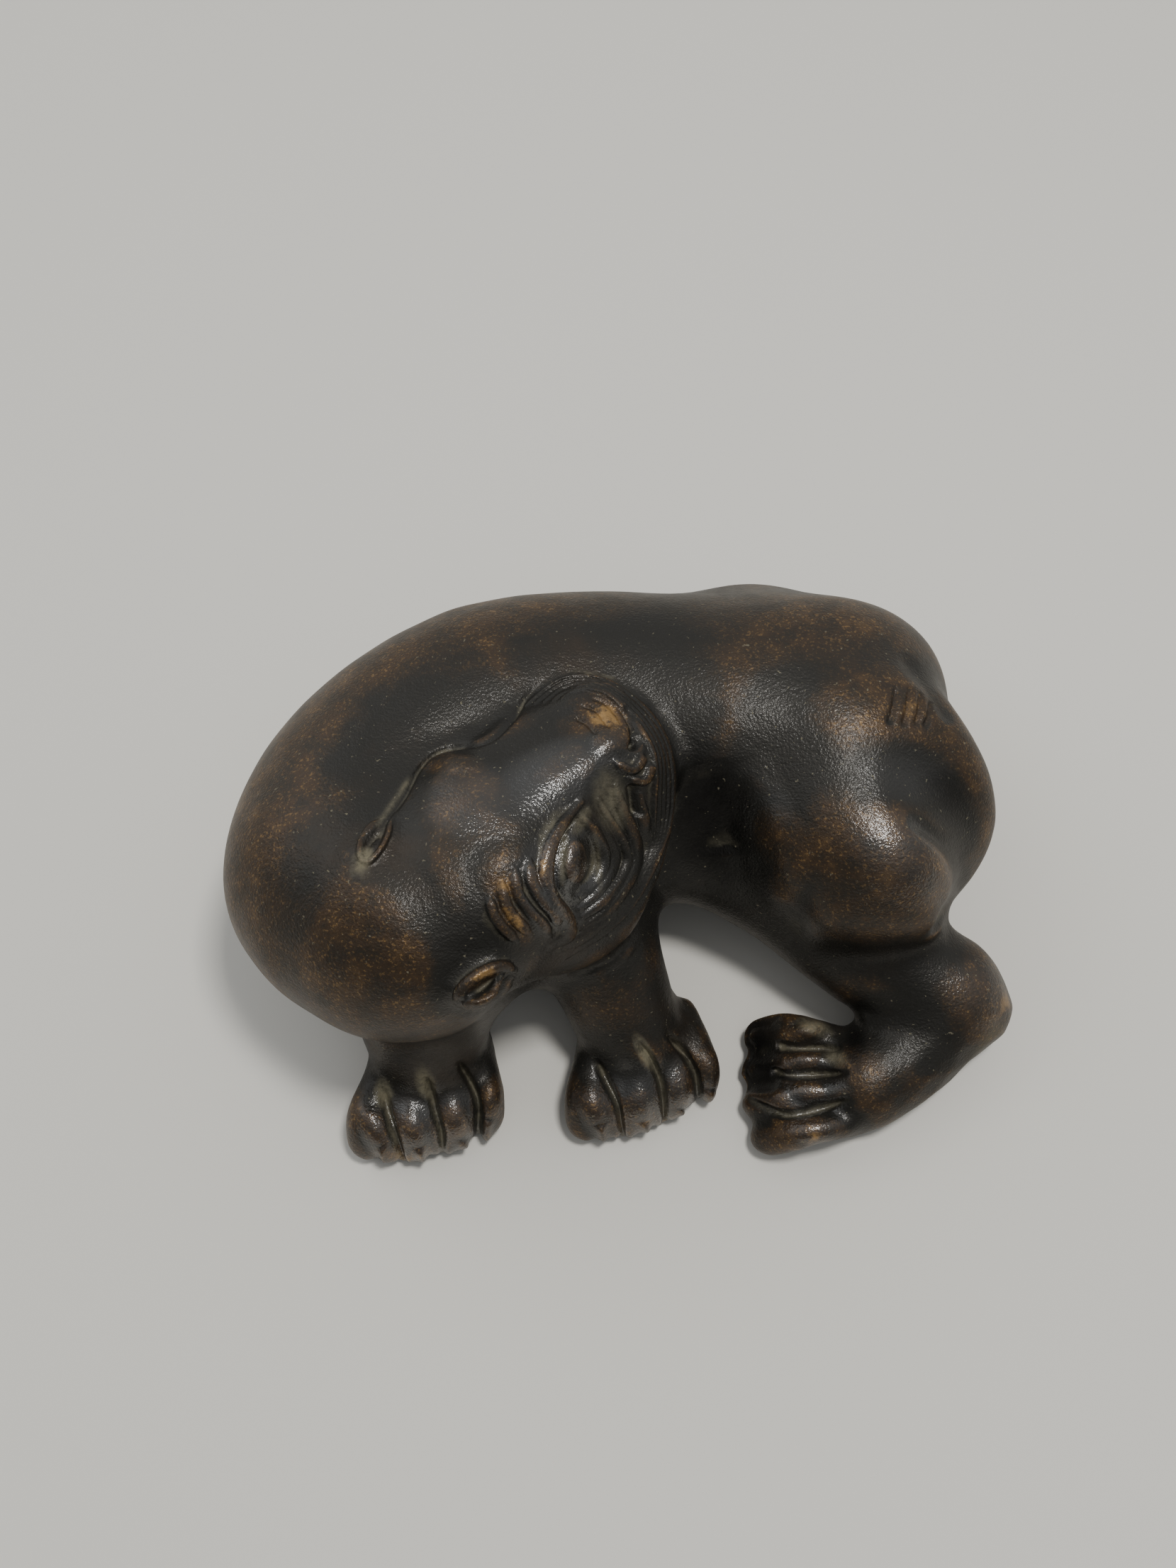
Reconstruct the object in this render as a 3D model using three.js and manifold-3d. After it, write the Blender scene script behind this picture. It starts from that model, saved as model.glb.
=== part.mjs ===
// A crouching tiger, cast in bronze as one solid piece: it curls to its left and looks back over its flank.
// Millimetres, +Z up, with the soles on z = 0 and the origin under the middle of the figure. The rump is
// towards +X, and both front paws point to -Y.
import * as THREE from "three";
import { mergeVertices } from "three/addons/utils/BufferGeometryUtils.js";
import Module from "manifold-3d";

// Driving dimensions
const figureLength = 148; // from the neck to the hock, along X
const toesOfPaw = 4;
const toePitch = 7.2; // from the middle of one front toe to the next
const hindToePitch = 6.4;
const toeWidth = 1.16; // of a toe, as a share of the pitch
const clawLength = 3.4;
const turnedTailRadius = 7.5; // of the tail, where it turns down between the haunches
const eyeLength = 13.5; // from corner to corner
const eyeWidth = 6;
const eyeBulge = 1.3;
const socketDepth = 0.6;
const rimHeight = 0.8; // of the raised rims round the eye
const rimHalfWidth = 1.4;
const strandHeight = 0.9; // of a strand of the brow
const strandHalfWidth = 1.3;
const earLength = 10;

// Side of a facet on the back, on the head, on the toes, and on the carving round the eye
const bodyFacet = 5.4;
const headFacet = 2.8;
const toeFacet = 2.1;
const carvedFacet = 0.95;
const gradeOfFacets = 0.8;
const gridCell = 3.2;

// Rounds of merging short edges, of splitting long ones and of drawing the mesh onto the carved surface
const mergeRounds = 12;
const splitRounds = 2;
const carveRounds = 3;

// The pose and its proportions are laid out on a figure of this length, and follow figureLength from it
const laidOutLength = 148;
const share = figureLength / laidOutLength;

// How softly two masses run into each other
const fleshBlend = 9;
const legBlend = 7;
const faceBlend = 4;
const ridgeBlend = 1.2;
const creaseBlend = 3;
const widestBlend = 12;

const wasm = await Module();
wasm.setup();

const clamp01 = (t) => Math.min(Math.max(t, 0), 1);
const mix = (a, b, t) => a + (b - a) * t;

function smoothstep(low, high, t) {
  const s = clamp01((t - low) / (high - low));
  return s * s * (3 - 2 * s);
}

// Joins two distances with a fillet about as wide as blend
function fuse(a, b, blend) {
  const h = Math.max(blend - Math.abs(a - b), 0) / blend;
  return Math.min(a, b) - (h * h * blend) / 4;
}

// A mass is a distance function with a ball round it; far outside the ball, the ball's own distance will do
function mass(distance, centre, radius) {
  const [cx, cy, cz] = centre;
  return (x, y, z) => {
    const toBall = Math.hypot(x - cx, y - cy, z - cz) - radius;
    return toBall > widestBlend ? toBall : distance(x, y, z);
  };
}

// A tapering limb along a smooth line through points [x, y, z, radius]
function limb(...points) {
  const knots = points.map(([x, y, z]) => new THREE.Vector3(x, y, z));
  const line = new THREE.CatmullRomCurve3(knots, false, "centripetal");
  const spans = points.length - 1;
  const steps = spans > 1 ? 3 * spans : 1;
  const stations = Array.from({ length: steps + 1 }, (_, i) => {
    const along = (i / steps) * spans;
    const k = Math.min(Math.floor(along), spans - 1);
    const { x, y, z } = line.getPoint(i / steps);
    return [x, y, z, mix(points[k][3], points[k + 1][3], along - k)];
  });
  const ball = new THREE.Box3().setFromPoints(knots).getBoundingSphere(new THREE.Sphere());
  const reach = ball.radius + 1.2 * Math.max(...points.map((point) => point[3]));
  const distance = (x, y, z) => {
    let nearest = Infinity;
    for (let i = 0; i < steps; i++) {
      const a = stations[i];
      const b = stations[i + 1];
      const dx = b[0] - a[0];
      const dy = b[1] - a[1];
      const dz = b[2] - a[2];
      const px = x - a[0];
      const py = y - a[1];
      const pz = z - a[2];
      const t = clamp01((px * dx + py * dy + pz * dz) / (dx * dx + dy * dy + dz * dz));
      const d = Math.hypot(px - t * dx, py - t * dy, pz - t * dz) - mix(a[3], b[3], t);
      if (d < nearest) nearest = d;
    }
    return nearest;
  };
  return mass(distance, ball.center.toArray(), reach);
}

// An egg-shaped mass with its centre, its three half sizes, and its turn about Z, then Y, then X, in degrees
function egg([cx, cy, cz], [rx, ry, rz], turn = [0, 0, 0]) {
  const [aboutZ, aboutY, aboutX] = turn.map(THREE.MathUtils.degToRad);
  const frame = new THREE.Matrix4().makeRotationFromEuler(new THREE.Euler(aboutX, aboutY, aboutZ, "ZYX"));
  const inward = frame.invert().elements;
  const distance = (x, y, z) => {
    const px = x - cx;
    const py = y - cy;
    const pz = z - cz;
    const u = (inward[0] * px + inward[4] * py + inward[8] * pz) / rx;
    const v = (inward[1] * px + inward[5] * py + inward[9] * pz) / ry;
    const w = (inward[2] * px + inward[6] * py + inward[10] * pz) / rz;
    const outer = Math.hypot(u, v, w);
    const steep = Math.hypot(u / rx, v / ry, w / rz);
    return steep > 0 ? (outer * (outer - 1)) / steep : -Math.min(rx, ry, rz);
  };
  return mass(distance, [cx, cy, cz], Math.max(rx, ry, rz));
}

// Runs several masses into one
const blended = (blend, ...masses) => (x, y, z) => {
  let d = Infinity;
  for (const one of masses) d = fuse(d, one(x, y, z), blend);
  return d;
};

// Moves a form that is laid out in a frame of its own, and turns it about Z
function placed(form, [ox, oy, oz], aboutZ) {
  const cos = Math.cos(THREE.MathUtils.degToRad(aboutZ));
  const sin = Math.sin(THREE.MathUtils.degToRad(aboutZ));
  return (x, y, z) => {
    const px = x - ox;
    const py = y - oy;
    return form(px * cos + py * sin, py * cos - px * sin, z - oz);
  };
}

// The back, from the pelvis over the ribs and round the shoulders into the nape
const trunk = blended(
  fleshBlend,
  limb(
    [46, -9, 34, 22],
    [28, -2, 32, 24.5],
    [6, 1.2, 29, 26],
    [-18, -3, 31, 26.6],
    [-36, -17, 34, 25.5],
    [-41, -33, 38, 25.5],
    [-34, -42, 43, 23],
  ),
  egg([12, -14, 25], [30, 20, 15]),
  egg([-24, -32, 30], [22, 24, 22]),
);

// The legs and the tail, each as one mass
const rightFrontLeg = limb([-28, -34, 30, 17], [-31, -50, 21, 14], [-31, -58, 11, 11.5]);
const leftFrontLeg = limb([-4, -28, 32, 15], [1, -40, 26, 12], [6, -51, 15, 10.5], [9, -56, 10, 10]);
const leftHindLeg = blended(
  5,
  egg([50, -28, 33], [19, 16, 21], [-20, 0, 0]),
  limb([35, -29, 21, 10], [55, -41, 16, 12], [71, -49, 12, 10]),
  limb([71, -49, 12, 10], [78, -52, 10, 4.5]),
  limb([72, -52, 9, 8.5], [63, -60, 8.5, 9], [54, -65, 7.5, 9.5]),
  limb([60, -53, 10, 5.5], [70, -50, 10, 7]),
);
const rightHindLeg = blended(
  legBlend,
  egg([45.5, 6.5, 30], [24.5, 19, 21], [8, 0, 0]),
  egg([34, 20, 24], [17, 13, 14]),
  limb([60, 10, 10, 9], [40, 20, 8, 9], [27, 22, 7, 8.5]),
);
const tail = limb(
  [47, -8, 47, turnedTailRadius * 1.2],
  [59, -8.5, 46, turnedTailRadius * 1.07],
  [67.5, -15, 40, turnedTailRadius],
  [70.5, -22, 31, turnedTailRadius * 0.93],
  [66, -28, 21, turnedTailRadius * 0.87],
  [57, -30, 13, turnedTailRadius * 0.8],
);

// A paw laid out pointing to +X with its sole on z = 0: a palm, then toes side by side, each with its claw
function pawForm(reach, pitch, setBack) {
  const palm = egg([-2, 0, 4], [reach * 0.58, pitch * 1.7, 7]);
  const radius = (pitch * toeWidth) / 2;
  const toes = setBack.map((back, i) => {
    const aside = (i - (toesOfPaw - 1) / 2) * pitch;
    const forward = reach - back;
    return blended(
      ridgeBlend,
      limb(
        [forward - 17, aside * 0.8, 8, radius * 0.85],
        [forward - 8, aside, 8.6, radius * 1.03],
        [forward - radius, aside * 1.02, 4.4, radius],
      ),
      limb([forward - 3, aside, 3.6, 2.4], [forward - 3 + clawLength, aside, 2, 0.8]),
    );
  });
  return (x, y, z) => {
    let spread = Infinity;
    for (const toe of toes) spread = fuse(spread, toe(x, y, z), 0.6);
    return fuse(palm(x, y, z), spread, 2);
  };
}

// Each paw's place, turn, reach from its palm, and how far each toe stands back behind the longest
const pawPlaces = [
  { at: [-31, -66, 0], turn: -93, reach: 15, pitch: toePitch, setBack: [0.4, 0, 2, 6] },
  { at: [10, -60.5, 0], turn: -87, reach: 15.5, pitch: toePitch, setBack: [0.2, 0, 2.4, 6.5] },
  { at: [47, -65, 0], turn: 183, reach: 17, pitch: hindToePitch, setBack: [1.5, 0.5, 0, 1] },
  { at: [24, 22, 0], turn: 183, reach: 14, pitch: hindToePitch, setBack: [1, 0, 0, 1] },
];
const paws = pawPlaces.map(({ at, turn, reach, pitch, setBack }) => {
  const paw = placed(pawForm(reach, pitch, setBack), at, turn);
  return mass(paw, at, reach + 2 * pitch);
});

// The head, laid out facing +X with its left side to -Y, and turned back over the flank
const headAt = [-14, -36, 50];
const headTurn = 40;

const skull = blended(
  faceBlend * 1.5,
  egg([-8, 1.5, 1], [22, 19.5, 18]),
  egg([20.5, 4, 1], [17, 15.5, 12], [0, 0, 12]),
  egg([6, -10.5, -8], [15, 11, 11]),
  egg([8, 12, 3], [15, 9, 10]),
  limb([2, 1, 7, 10], [16, 1.5, 8, 7], [25, 2, 8, 5.5]),
);
const nose = blended(
  ridgeBlend * 2,
  egg([28, 1, 8], [3.6, 5.5, 4]),
  egg([28, -4, 6], [3, 2.2, 2.6]),
  egg([27, 10, 7.5], [8, 6.5, 5]),
);
const farBrow = limb([-1, 13, 12, 2.6], [5, 13.5, 11.5, 2.2]);
const brow = egg([-4.5, -6.5, 9.5], [5, 5.5, 5]);
const jowl = limb(
  [34, 6, 4, 2.5],
  [32, -3, 2, 2.5],
  [27, -10, -1, 2.5],
  [20, -15, -4, 2.5],
  [10, -19, -6, 2.5],
);
const head = blended(faceBlend / 2, skull, nose, jowl, farBrow, brow);
const ears = blended(
  ridgeBlend,
  egg([-17.8, -15.2, 9], [earLength / 2, 2.8, 4.8], [6, 0, 40]),
  egg([-17.8, 13, 15.5], [earLength / 2, 2, 2.2], [12, 8, 0]),
);

// The carving of the face lies along lines on the head as it is seen from above its left side. Each place on
// the surface is carried along that view to the height of the eye, and the lines are laid out there.
const eyeHeight = 8;
const viewLeanAhead = 0.26;
const viewLeanAside = 0.31;

// A rounded ridge along a line, fading out at both of its ends
function ridgeAlong(height, halfWidth, ...points) {
  const line = new THREE.SplineCurve(points.map(([x, y]) => new THREE.Vector2(x, y))).getSpacedPoints(12);
  return (x, y) => {
    let squared = Infinity;
    let fade = 0;
    for (let i = 0; i < line.length - 1; i++) {
      const dx = line[i + 1].x - line[i].x;
      const dy = line[i + 1].y - line[i].y;
      const t = clamp01(((x - line[i].x) * dx + (y - line[i].y) * dy) / (dx * dx + dy * dy));
      const d = (x - line[i].x - t * dx) ** 2 + (y - line[i].y - t * dy) ** 2;
      if (d < squared) {
        squared = d;
        fade = smoothstep(0, 0.2, 0.5 - Math.abs((i + t) / (line.length - 1) - 0.5));
      }
    }
    return height * (0.35 + 0.65 * fade) * Math.exp(-squared / (halfWidth * halfWidth));
  };
}

const upperRim = [[14.6, -2.6], [8.3, -4], [4.4, -6.6], [2, -11.3], [1.8, -15.6], [-0.5, -17.8]];
const lowerRim = [[14.6, -3.6], [13.6, -8.8], [11.7, -12.3], [8.1, -14.7], [3.4, -16]];
const cheekFold = [[18.2, -5.9], [17.1, -12.9], [14.6, -16.4], [9.7, -17.9], [2, -18.4]];
const browStrands = [
  [[1.1, -5], [-0.8, -9], [-0.4, -13.3], [-1.8, -16.4]],
  [[-2.1, -5.1], [-4.2, -8.2], [-4.2, -12], [-3.8, -15.8]],
  [[-5, -4.8], [-7.4, -8], [-7.4, -12.3]],
];
const carvedLines = [
  ...[upperRim, lowerRim, cheekFold].map((line) => ridgeAlong(rimHeight, rimHalfWidth, ...line)),
  ...browStrands.map((line) => ridgeAlong(strandHeight, strandHalfWidth, ...line)),
];
const eyeCentre = [8.6, -8.9];
const eyeSlant = THREE.MathUtils.degToRad(44);

// How far the face is carved up or down at a place on its plan
function faceRelief(x, y) {
  const along = (x - eyeCentre[0]) * Math.cos(eyeSlant) + (y - eyeCentre[1]) * Math.sin(eyeSlant);
  const across = (y - eyeCentre[1]) * Math.cos(eyeSlant) - (x - eyeCentre[0]) * Math.sin(eyeSlant);
  const fromEye = Math.hypot(along / (eyeLength / 2), across / (eyeWidth / 2));
  const ball = eyeBulge * Math.max(1 - fromEye * fromEye, 0);
  const socket = -socketDepth * Math.exp(-(((fromEye - 1.1) / 0.4) ** 2));
  return carvedLines.reduce((sum, line) => sum + line(x, y), ball + socket);
}

// The whole figure's distance field before its face is carved, in laid-out millimetres, negative inside
const headMass = mass(placed(head, headAt, headTurn), headAt, 42);
const earMass = mass(placed(ears, headAt, headTurn), headAt, 36);
const distanceAhead = placed((ahead) => ahead, headAt, headTurn);
function plainFigure(x, y, z) {
  let d = trunk(x, y, z);
  for (const leg of [rightFrontLeg, leftFrontLeg]) d = fuse(d, leg(x, y, z), legBlend);
  for (const leg of [leftHindLeg, rightHindLeg]) d = fuse(d, leg(x, y, z), widestBlend);
  d = fuse(d, tail(x, y, z), legBlend);
  for (const paw of paws) d = fuse(d, paw(x, y, z), faceBlend / 2);
  const napeShare = smoothstep(-13, -26, distanceAhead(x, y, z));
  d = fuse(d, headMass(x, y, z), mix(creaseBlend, widestBlend, napeShare));
  return fuse(d, earMass(x, y, z), ridgeBlend * 2);
}

// The same field with the face's carving, which fades out down the side of the head
const reliefOnHead = placed((x, y, z) => {
  const fade = smoothstep(-14, -6, z);
  if (fade === 0) return 0;
  return fade * faceRelief(x + viewLeanAhead * (z - eyeHeight), y + viewLeanAside * (z - eyeHeight));
}, headAt, headTurn);
const carvedFigure = (x, y, z) => plainFigure(x, y, z) - reliefOnHead(x, y, z);

// Meshing the field: each cube of a grid is cut into six tetrahedra, and the surface crosses each of them in
// one or two facets
const gridLow = [-80, -92, -10];
const gridHigh = [92, 48, 84];
const cubeCorners = [0, 1, 2, 3, 4, 5, 6, 7].map((corner) => [corner & 1, (corner >> 1) & 1, corner >> 2]);
const tetrahedra = [[0, 1, 3, 7], [0, 3, 2, 7], [0, 2, 6, 7], [0, 6, 4, 7], [0, 4, 5, 7], [0, 5, 1, 7]];

function meshField(field, cell) {
  const count = gridLow.map((low, axis) => Math.ceil((gridHigh[axis] - low) / cell) + 1);
  const placeOf = (node) => {
    const row = Math.floor(node / count[0]);
    const steps = [node % count[0], row % count[1], Math.floor(row / count[1])];
    return steps.map((step, axis) => gridLow[axis] + step * cell);
  };
  const values = new Float32Array(count[0] * count[1] * count[2]);
  for (let node = 0; node < values.length; node++) values[node] = field(...placeOf(node));
  const points = [];
  const faces = [];
  const crossings = new Map();
  const crossing = (p, q) => {
    const key = Math.min(p, q) * values.length + Math.max(p, q);
    if (!crossings.has(key)) {
      const [from, to] = [placeOf(p), placeOf(q)];
      const t = values[p] / (values[p] - values[q]);
      crossings.set(key, points.push(from.map((value, axis) => mix(value, to[axis], t))) - 1);
    }
    return crossings.get(key);
  };
  for (let k = 0; k < count[2] - 1; k++)
    for (let j = 0; j < count[1] - 1; j++)
      for (let i = 0; i < count[0] - 1; i++) {
        const nodes = cubeCorners.map(([u, v, w]) => ((k + w) * count[1] + j + v) * count[0] + i + u);
        const within = nodes.filter((node) => values[node] < 0).length;
        if (within === 0 || within === nodes.length) continue;
        for (const tetrahedron of tetrahedra) {
          const corners = tetrahedron.map((n) => nodes[n]);
          const inner = corners.filter((node) => values[node] < 0);
          const outer = corners.filter((node) => values[node] >= 0);
          if (inner.length === 0 || outer.length === 0) continue;
          const lone = inner.length === 3 ? outer : inner;
          const rest = inner.length === 3 ? inner : outer;
          const order = [...lone, ...rest].map((node) => corners.indexOf(node));
          const swaps = order.flatMap((n, m) => order.slice(m + 1).filter((later) => later < n)).length;
          const turned = (swaps + (inner.length === 3 ? 1 : 0)) % 2 === 1;
          const ring = lone.flatMap((from, m) => {
            const row = rest.map((to) => crossing(from, to));
            return m === 1 ? row.reverse() : row;
          });
          if (turned) ring.reverse();
          faces.push([ring[0], ring[1], ring[2]]);
          if (ring.length === 4) faces.push([ring[0], ring[2], ring[3]]);
        }
      }
  return { points, faces };
}

// Moves a point along the field's slope until it lies on the surface
function snap(field, p) {
  const step = 0.05;
  for (let round = 0; round < 3; round++) {
    const [x, y, z] = p;
    const d = field(x, y, z);
    const ahead = [field(x + step, y, z), field(x, y + step, z), field(x, y, z + step)];
    const slope = ahead.map((further) => (further - d) / step);
    const steep = slope.reduce((sum, g) => sum + g * g, 0);
    for (let n = 0; n < 3; n++) p[n] -= (slope[n] * d) / Math.max(steep, 0.5);
  }
}

// Evens out the spacing of the points, keeping them on the surface
function relax(field, { points, faces }, rounds) {
  const near = points.map(() => new Set());
  for (const face of faces) for (const a of face) for (const b of face) if (a !== b) near[a].add(b);
  for (let round = 0; round < rounds; round++) {
    const moved = points.map((p, i) => {
      const mean = [0, 0, 0];
      for (const other of near[i]) for (let n = 0; n < 3; n++) mean[n] += points[other][n] / near[i].size;
      return p.map((value, n) => mix(value, mean[n], 0.5));
    });
    moved.forEach((p, i) => {
      snap(field, p);
      points[i] = p;
    });
  }
}

// Halves each edge that is longer than wanted(middle) and splits its two faces to match
function refine(field, { points, faces }, wanted) {
  const middles = new Map();
  const middleOf = (a, b) => {
    const key = Math.min(a, b) * 1e6 + Math.max(a, b);
    if (!middles.has(key)) {
      const mean = points[a].map((value, n) => (value + points[b][n]) / 2);
      const length = Math.hypot(...points[a].map((value, n) => value - points[b][n]));
      let made = -1;
      if (length > 1.35 * wanted(mean)) {
        snap(field, mean);
        made = points.push(mean) - 1;
      }
      middles.set(key, made);
    }
    return middles.get(key);
  };
  const split = [];
  for (const face of faces) {
    const cut = face.map((a, n) => middleOf(a, face[(n + 1) % 3]));
    const cuts = cut.filter((m) => m >= 0).length;
    if (cuts === 0) split.push(face);
    else if (cuts === 3) {
      const [a, b, c] = face;
      const [ab, bc, ca] = cut;
      split.push([a, ab, ca], [ab, b, bc], [ca, bc, c], [ab, bc, ca]);
    } else {
      const first = cuts === 1 ? cut.findIndex((m) => m >= 0) : (cut.findIndex((m) => m < 0) + 1) % 3;
      const [a, b, c] = [0, 1, 2].map((n) => face[(first + n) % 3]);
      const [ab, bc] = [0, 1].map((n) => cut[(first + n) % 3]);
      if (cuts === 1) split.push([a, ab, c], [ab, b, c]);
      else split.push([ab, b, bc], [a, ab, bc], [a, bc, c]);
    }
  }
  return { points, faces: split };
}

// The unit normal of a facet
function facing(points, [a, b, c]) {
  const [p, q, r] = [a, b, c].map((i) => new THREE.Vector3(...points[i]));
  return q.sub(p).cross(r.sub(p)).normalize();
}

// Draws the two ends of each edge together where it is shorter than wanted(middle), and drops its two facets
function mergeEdges(field, { points, faces }, wanted) {
  const around = points.map(() => new Set());
  faces.forEach((face, f) => face.forEach((a) => around[a].add(f)));
  const ringOf = (a) => new Set([...around[a]].flatMap((f) => faces[f]).filter((other) => other !== a));
  const settled = new Set();
  const dropped = new Set();
  faces.forEach((seed) => {
    for (let n = 0; n < 3; n++) {
      const [a, b] = [seed[n], seed[(n + 1) % 3]];
      if (a > b || settled.has(a) || settled.has(b)) continue;
      const middle = points[a].map((value, k) => (value + points[b][k]) / 2);
      const length = Math.hypot(...points[a].map((value, k) => value - points[b][k]));
      if (length > 0.75 * wanted(middle)) continue;
      const [ringA, ringB] = [ringOf(a), ringOf(b)];
      const shared = [...ringA].filter((other) => ringB.has(other));
      if (shared.length !== 2 || shared.some((other) => around[other].size < 4)) continue;
      snap(field, middle);
      const between = [...around[a]].filter((f) => around[b].has(f));
      const kept = [...around[a], ...around[b]].filter((f) => !between.includes(f));
      const before = kept.map((f) => facing(points, faces[f]));
      const old = [points[a], points[b]];
      points[a] = middle;
      points[b] = middle;
      if (kept.some((f, k) => !(facing(points, faces[f]).dot(before[k]) > 0.7))) {
        [points[a], points[b]] = old;
        continue;
      }
      for (const f of between) {
        dropped.add(f);
        for (const corner of faces[f]) around[corner].delete(f);
      }
      for (const f of around[b]) {
        faces[f] = faces[f].map((corner) => (corner === b ? a : corner));
        around[a].add(f);
      }
      for (const other of [a, b, ...ringA, ...ringB]) settled.add(other);
      break;
    }
  });
  const left = faces.filter((face, f) => !dropped.has(f));
  const used = [...new Set(left.flat())];
  const renamed = new Map(used.map((old, i) => [old, i]));
  return {
    points: used.map((old) => points[old]),
    faces: left.map((face) => face.map((old) => renamed.get(old))),
  };
}

// Turns each edge that sees more than a half turn from its two far corners, so that no facet is a sliver
function turnEdges({ points, faces }) {
  const keyOf = (a, b) => a * 1e6 + b;
  const sides = new Map();
  faces.forEach((face, f) => face.forEach((a, n) => sides.set(keyOf(a, face[(n + 1) % 3]), f)));
  const corner = (p, q) => new THREE.Vector3(...points[q]).sub(new THREE.Vector3(...points[p]));
  const changed = -1;
  const turned = new Set([changed]);
  faces.forEach((face, f) => {
    for (let n = 0; n < 3; n++) {
      const [a, b, c] = [0, 1, 2].map((k) => face[(n + k) % 3]);
      const g = sides.get(keyOf(b, a));
      if (turned.has(f) || turned.has(g)) continue;
      const d = faces[g].find((other) => other !== a && other !== b);
      if (sides.has(keyOf(c, d)) || sides.has(keyOf(d, c))) continue;
      const seen = corner(c, a).angleTo(corner(c, b)) + corner(d, a).angleTo(corner(d, b));
      const pair = [[a, d, c], [d, b, c]];
      const flat = Math.min(...pair.map((one) => facing(points, one).dot(facing(points, face))));
      if (seen < Math.PI * 1.02 || !(flat > 0.8)) continue;
      faces[f] = pair[0];
      faces[g] = pair[1];
      for (const one of pair) one.forEach((p, k) => sides.set(keyOf(p, one[(k + 1) % 3]), changed));
      turned.add(f).add(g);
    }
  });
}

// How long an edge should be, by place: shortest over the carving round the eye, short on the head and the
// toes, and growing with the distance from them
const apart = ([cx, cy, cz], [rx, ry, rz]) => (x, y, z) => {
  return Math.hypot((x - cx) / rx, (y - cy) / ry, (z - cz) / rz);
};
const fromCarving = placed(apart([6, -9.5, 7], [12, 8.5, 9]), headAt, headTurn);
const fromHead = placed(apart([10, -1, 8], [28, 20, 14]), headAt, headTurn);
const fromToes = pawPlaces.map(({ at, turn, reach }) => {
  return placed(apart([reach / 2, 0, 6], [12, 15, 9]), at, turn);
});
function facetAt([x, y, z]) {
  const grow = (facet, distance) => facet * Math.max(1 + gradeOfFacets * (distance - 1), 1);
  const onCarving = grow(carvedFacet, fromCarving(x, y, z) * 3 - 2);
  const onHead = grow(headFacet, fromHead(x, y, z));
  const onToes = grow(toeFacet, Math.min(...fromToes.map((distance) => distance(x, y, z))));
  return Math.min(bodyFacet, onCarving, onHead, onToes);
}

const solidOf = ({ points, faces }) =>
  new wasm.Manifold(
    new wasm.Mesh({
      numProp: 3,
      vertProperties: new Float32Array(points.flat()),
      triVerts: new Uint32Array(faces.flat()),
    }),
  );

// A box as a solid, to cut the soles flat
function boxSolid(size, centre) {
  const box = new THREE.BoxGeometry(...size).translate(...centre);
  box.deleteAttribute("normal");
  box.deleteAttribute("uv");
  const merged = mergeVertices(box);
  return new wasm.Manifold(
    new wasm.Mesh({
      numProp: 3,
      vertProperties: merged.attributes.position.array,
      triVerts: new Uint32Array(merged.index.array),
    }),
  );
}

let shell = meshField(plainFigure, gridCell);
relax(plainFigure, shell, 1);
for (let round = 0; round < mergeRounds; round++) {
  shell = mergeEdges(plainFigure, shell, facetAt);
  turnEdges(shell);
  relax(plainFigure, shell, 1);
}
for (let round = 0; round < splitRounds; round++) {
  shell = refine(plainFigure, shell, facetAt);
  turnEdges(shell);
  relax(plainFigure, shell, 2);
}
for (let round = 0; round < carveRounds; round++) {
  relax(carvedFigure, shell, 1);
  turnEdges(shell);
}

// Everything below z = 0 is cut away, which leaves the soles flat
const roomy = 2 * laidOutLength;
const aboveGround = boxSolid([roomy, roomy, roomy], [0, 0, roomy / 2]);
const stood = solidOf(shell).intersect(aboveGround);

function geometryOf(solid) {
  const mesh = solid.getMesh();
  const geometry = new THREE.BufferGeometry();
  geometry.setAttribute("position", new THREE.BufferAttribute(new Float32Array(mesh.vertProperties), 3));
  geometry.setIndex(new THREE.BufferAttribute(new Uint32Array(mesh.triVerts), 1));
  return geometry;
}

const geometry = geometryOf(stood).scale(share, share, share);
geometry.computeBoundingBox();
const middle = geometry.boundingBox.getCenter(new THREE.Vector3());
geometry.translate(-middle.x, -middle.y, 0);

const bronze = new THREE.MeshStandardMaterial({ color: 0x2e2620, roughness: 0.42, metalness: 0.85 });
const tiger = new THREE.Mesh(geometry, bronze);
tiger.name = "tiger_figure";

const group = new THREE.Group();
group.add(tiger);
export default group;
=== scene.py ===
"""Finishes the crouching bronze tiger: its skin, its carved face and paws, its patina, and the studio."""

import math

import bpy
import numpy as np
from bpy.props import FloatProperty, FloatVectorProperty, IntProperty, PointerProperty
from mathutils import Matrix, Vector


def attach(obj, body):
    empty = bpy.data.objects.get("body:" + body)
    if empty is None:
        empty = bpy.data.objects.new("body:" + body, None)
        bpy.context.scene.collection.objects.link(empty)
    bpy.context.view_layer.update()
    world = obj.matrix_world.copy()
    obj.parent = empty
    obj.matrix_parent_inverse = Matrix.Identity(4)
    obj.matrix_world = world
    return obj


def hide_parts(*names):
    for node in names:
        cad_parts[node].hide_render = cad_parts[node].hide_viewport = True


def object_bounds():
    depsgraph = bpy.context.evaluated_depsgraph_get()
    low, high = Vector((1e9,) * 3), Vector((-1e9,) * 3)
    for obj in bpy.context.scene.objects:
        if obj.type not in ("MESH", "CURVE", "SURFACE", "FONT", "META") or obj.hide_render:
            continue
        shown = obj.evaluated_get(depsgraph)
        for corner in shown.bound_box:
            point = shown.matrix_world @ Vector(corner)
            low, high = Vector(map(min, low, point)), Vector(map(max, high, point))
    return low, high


bl_info = {
    "name": "Bronze Tiger",
    "version": (1, 0, 0),
    "blender": (4, 5, 0),
    "location": "View3D > Sidebar > Tiger",
    "description": "Cast, carve and patinate a crouching bronze tiger, and set it on a studio floor",
    "category": "Object",
}

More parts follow.
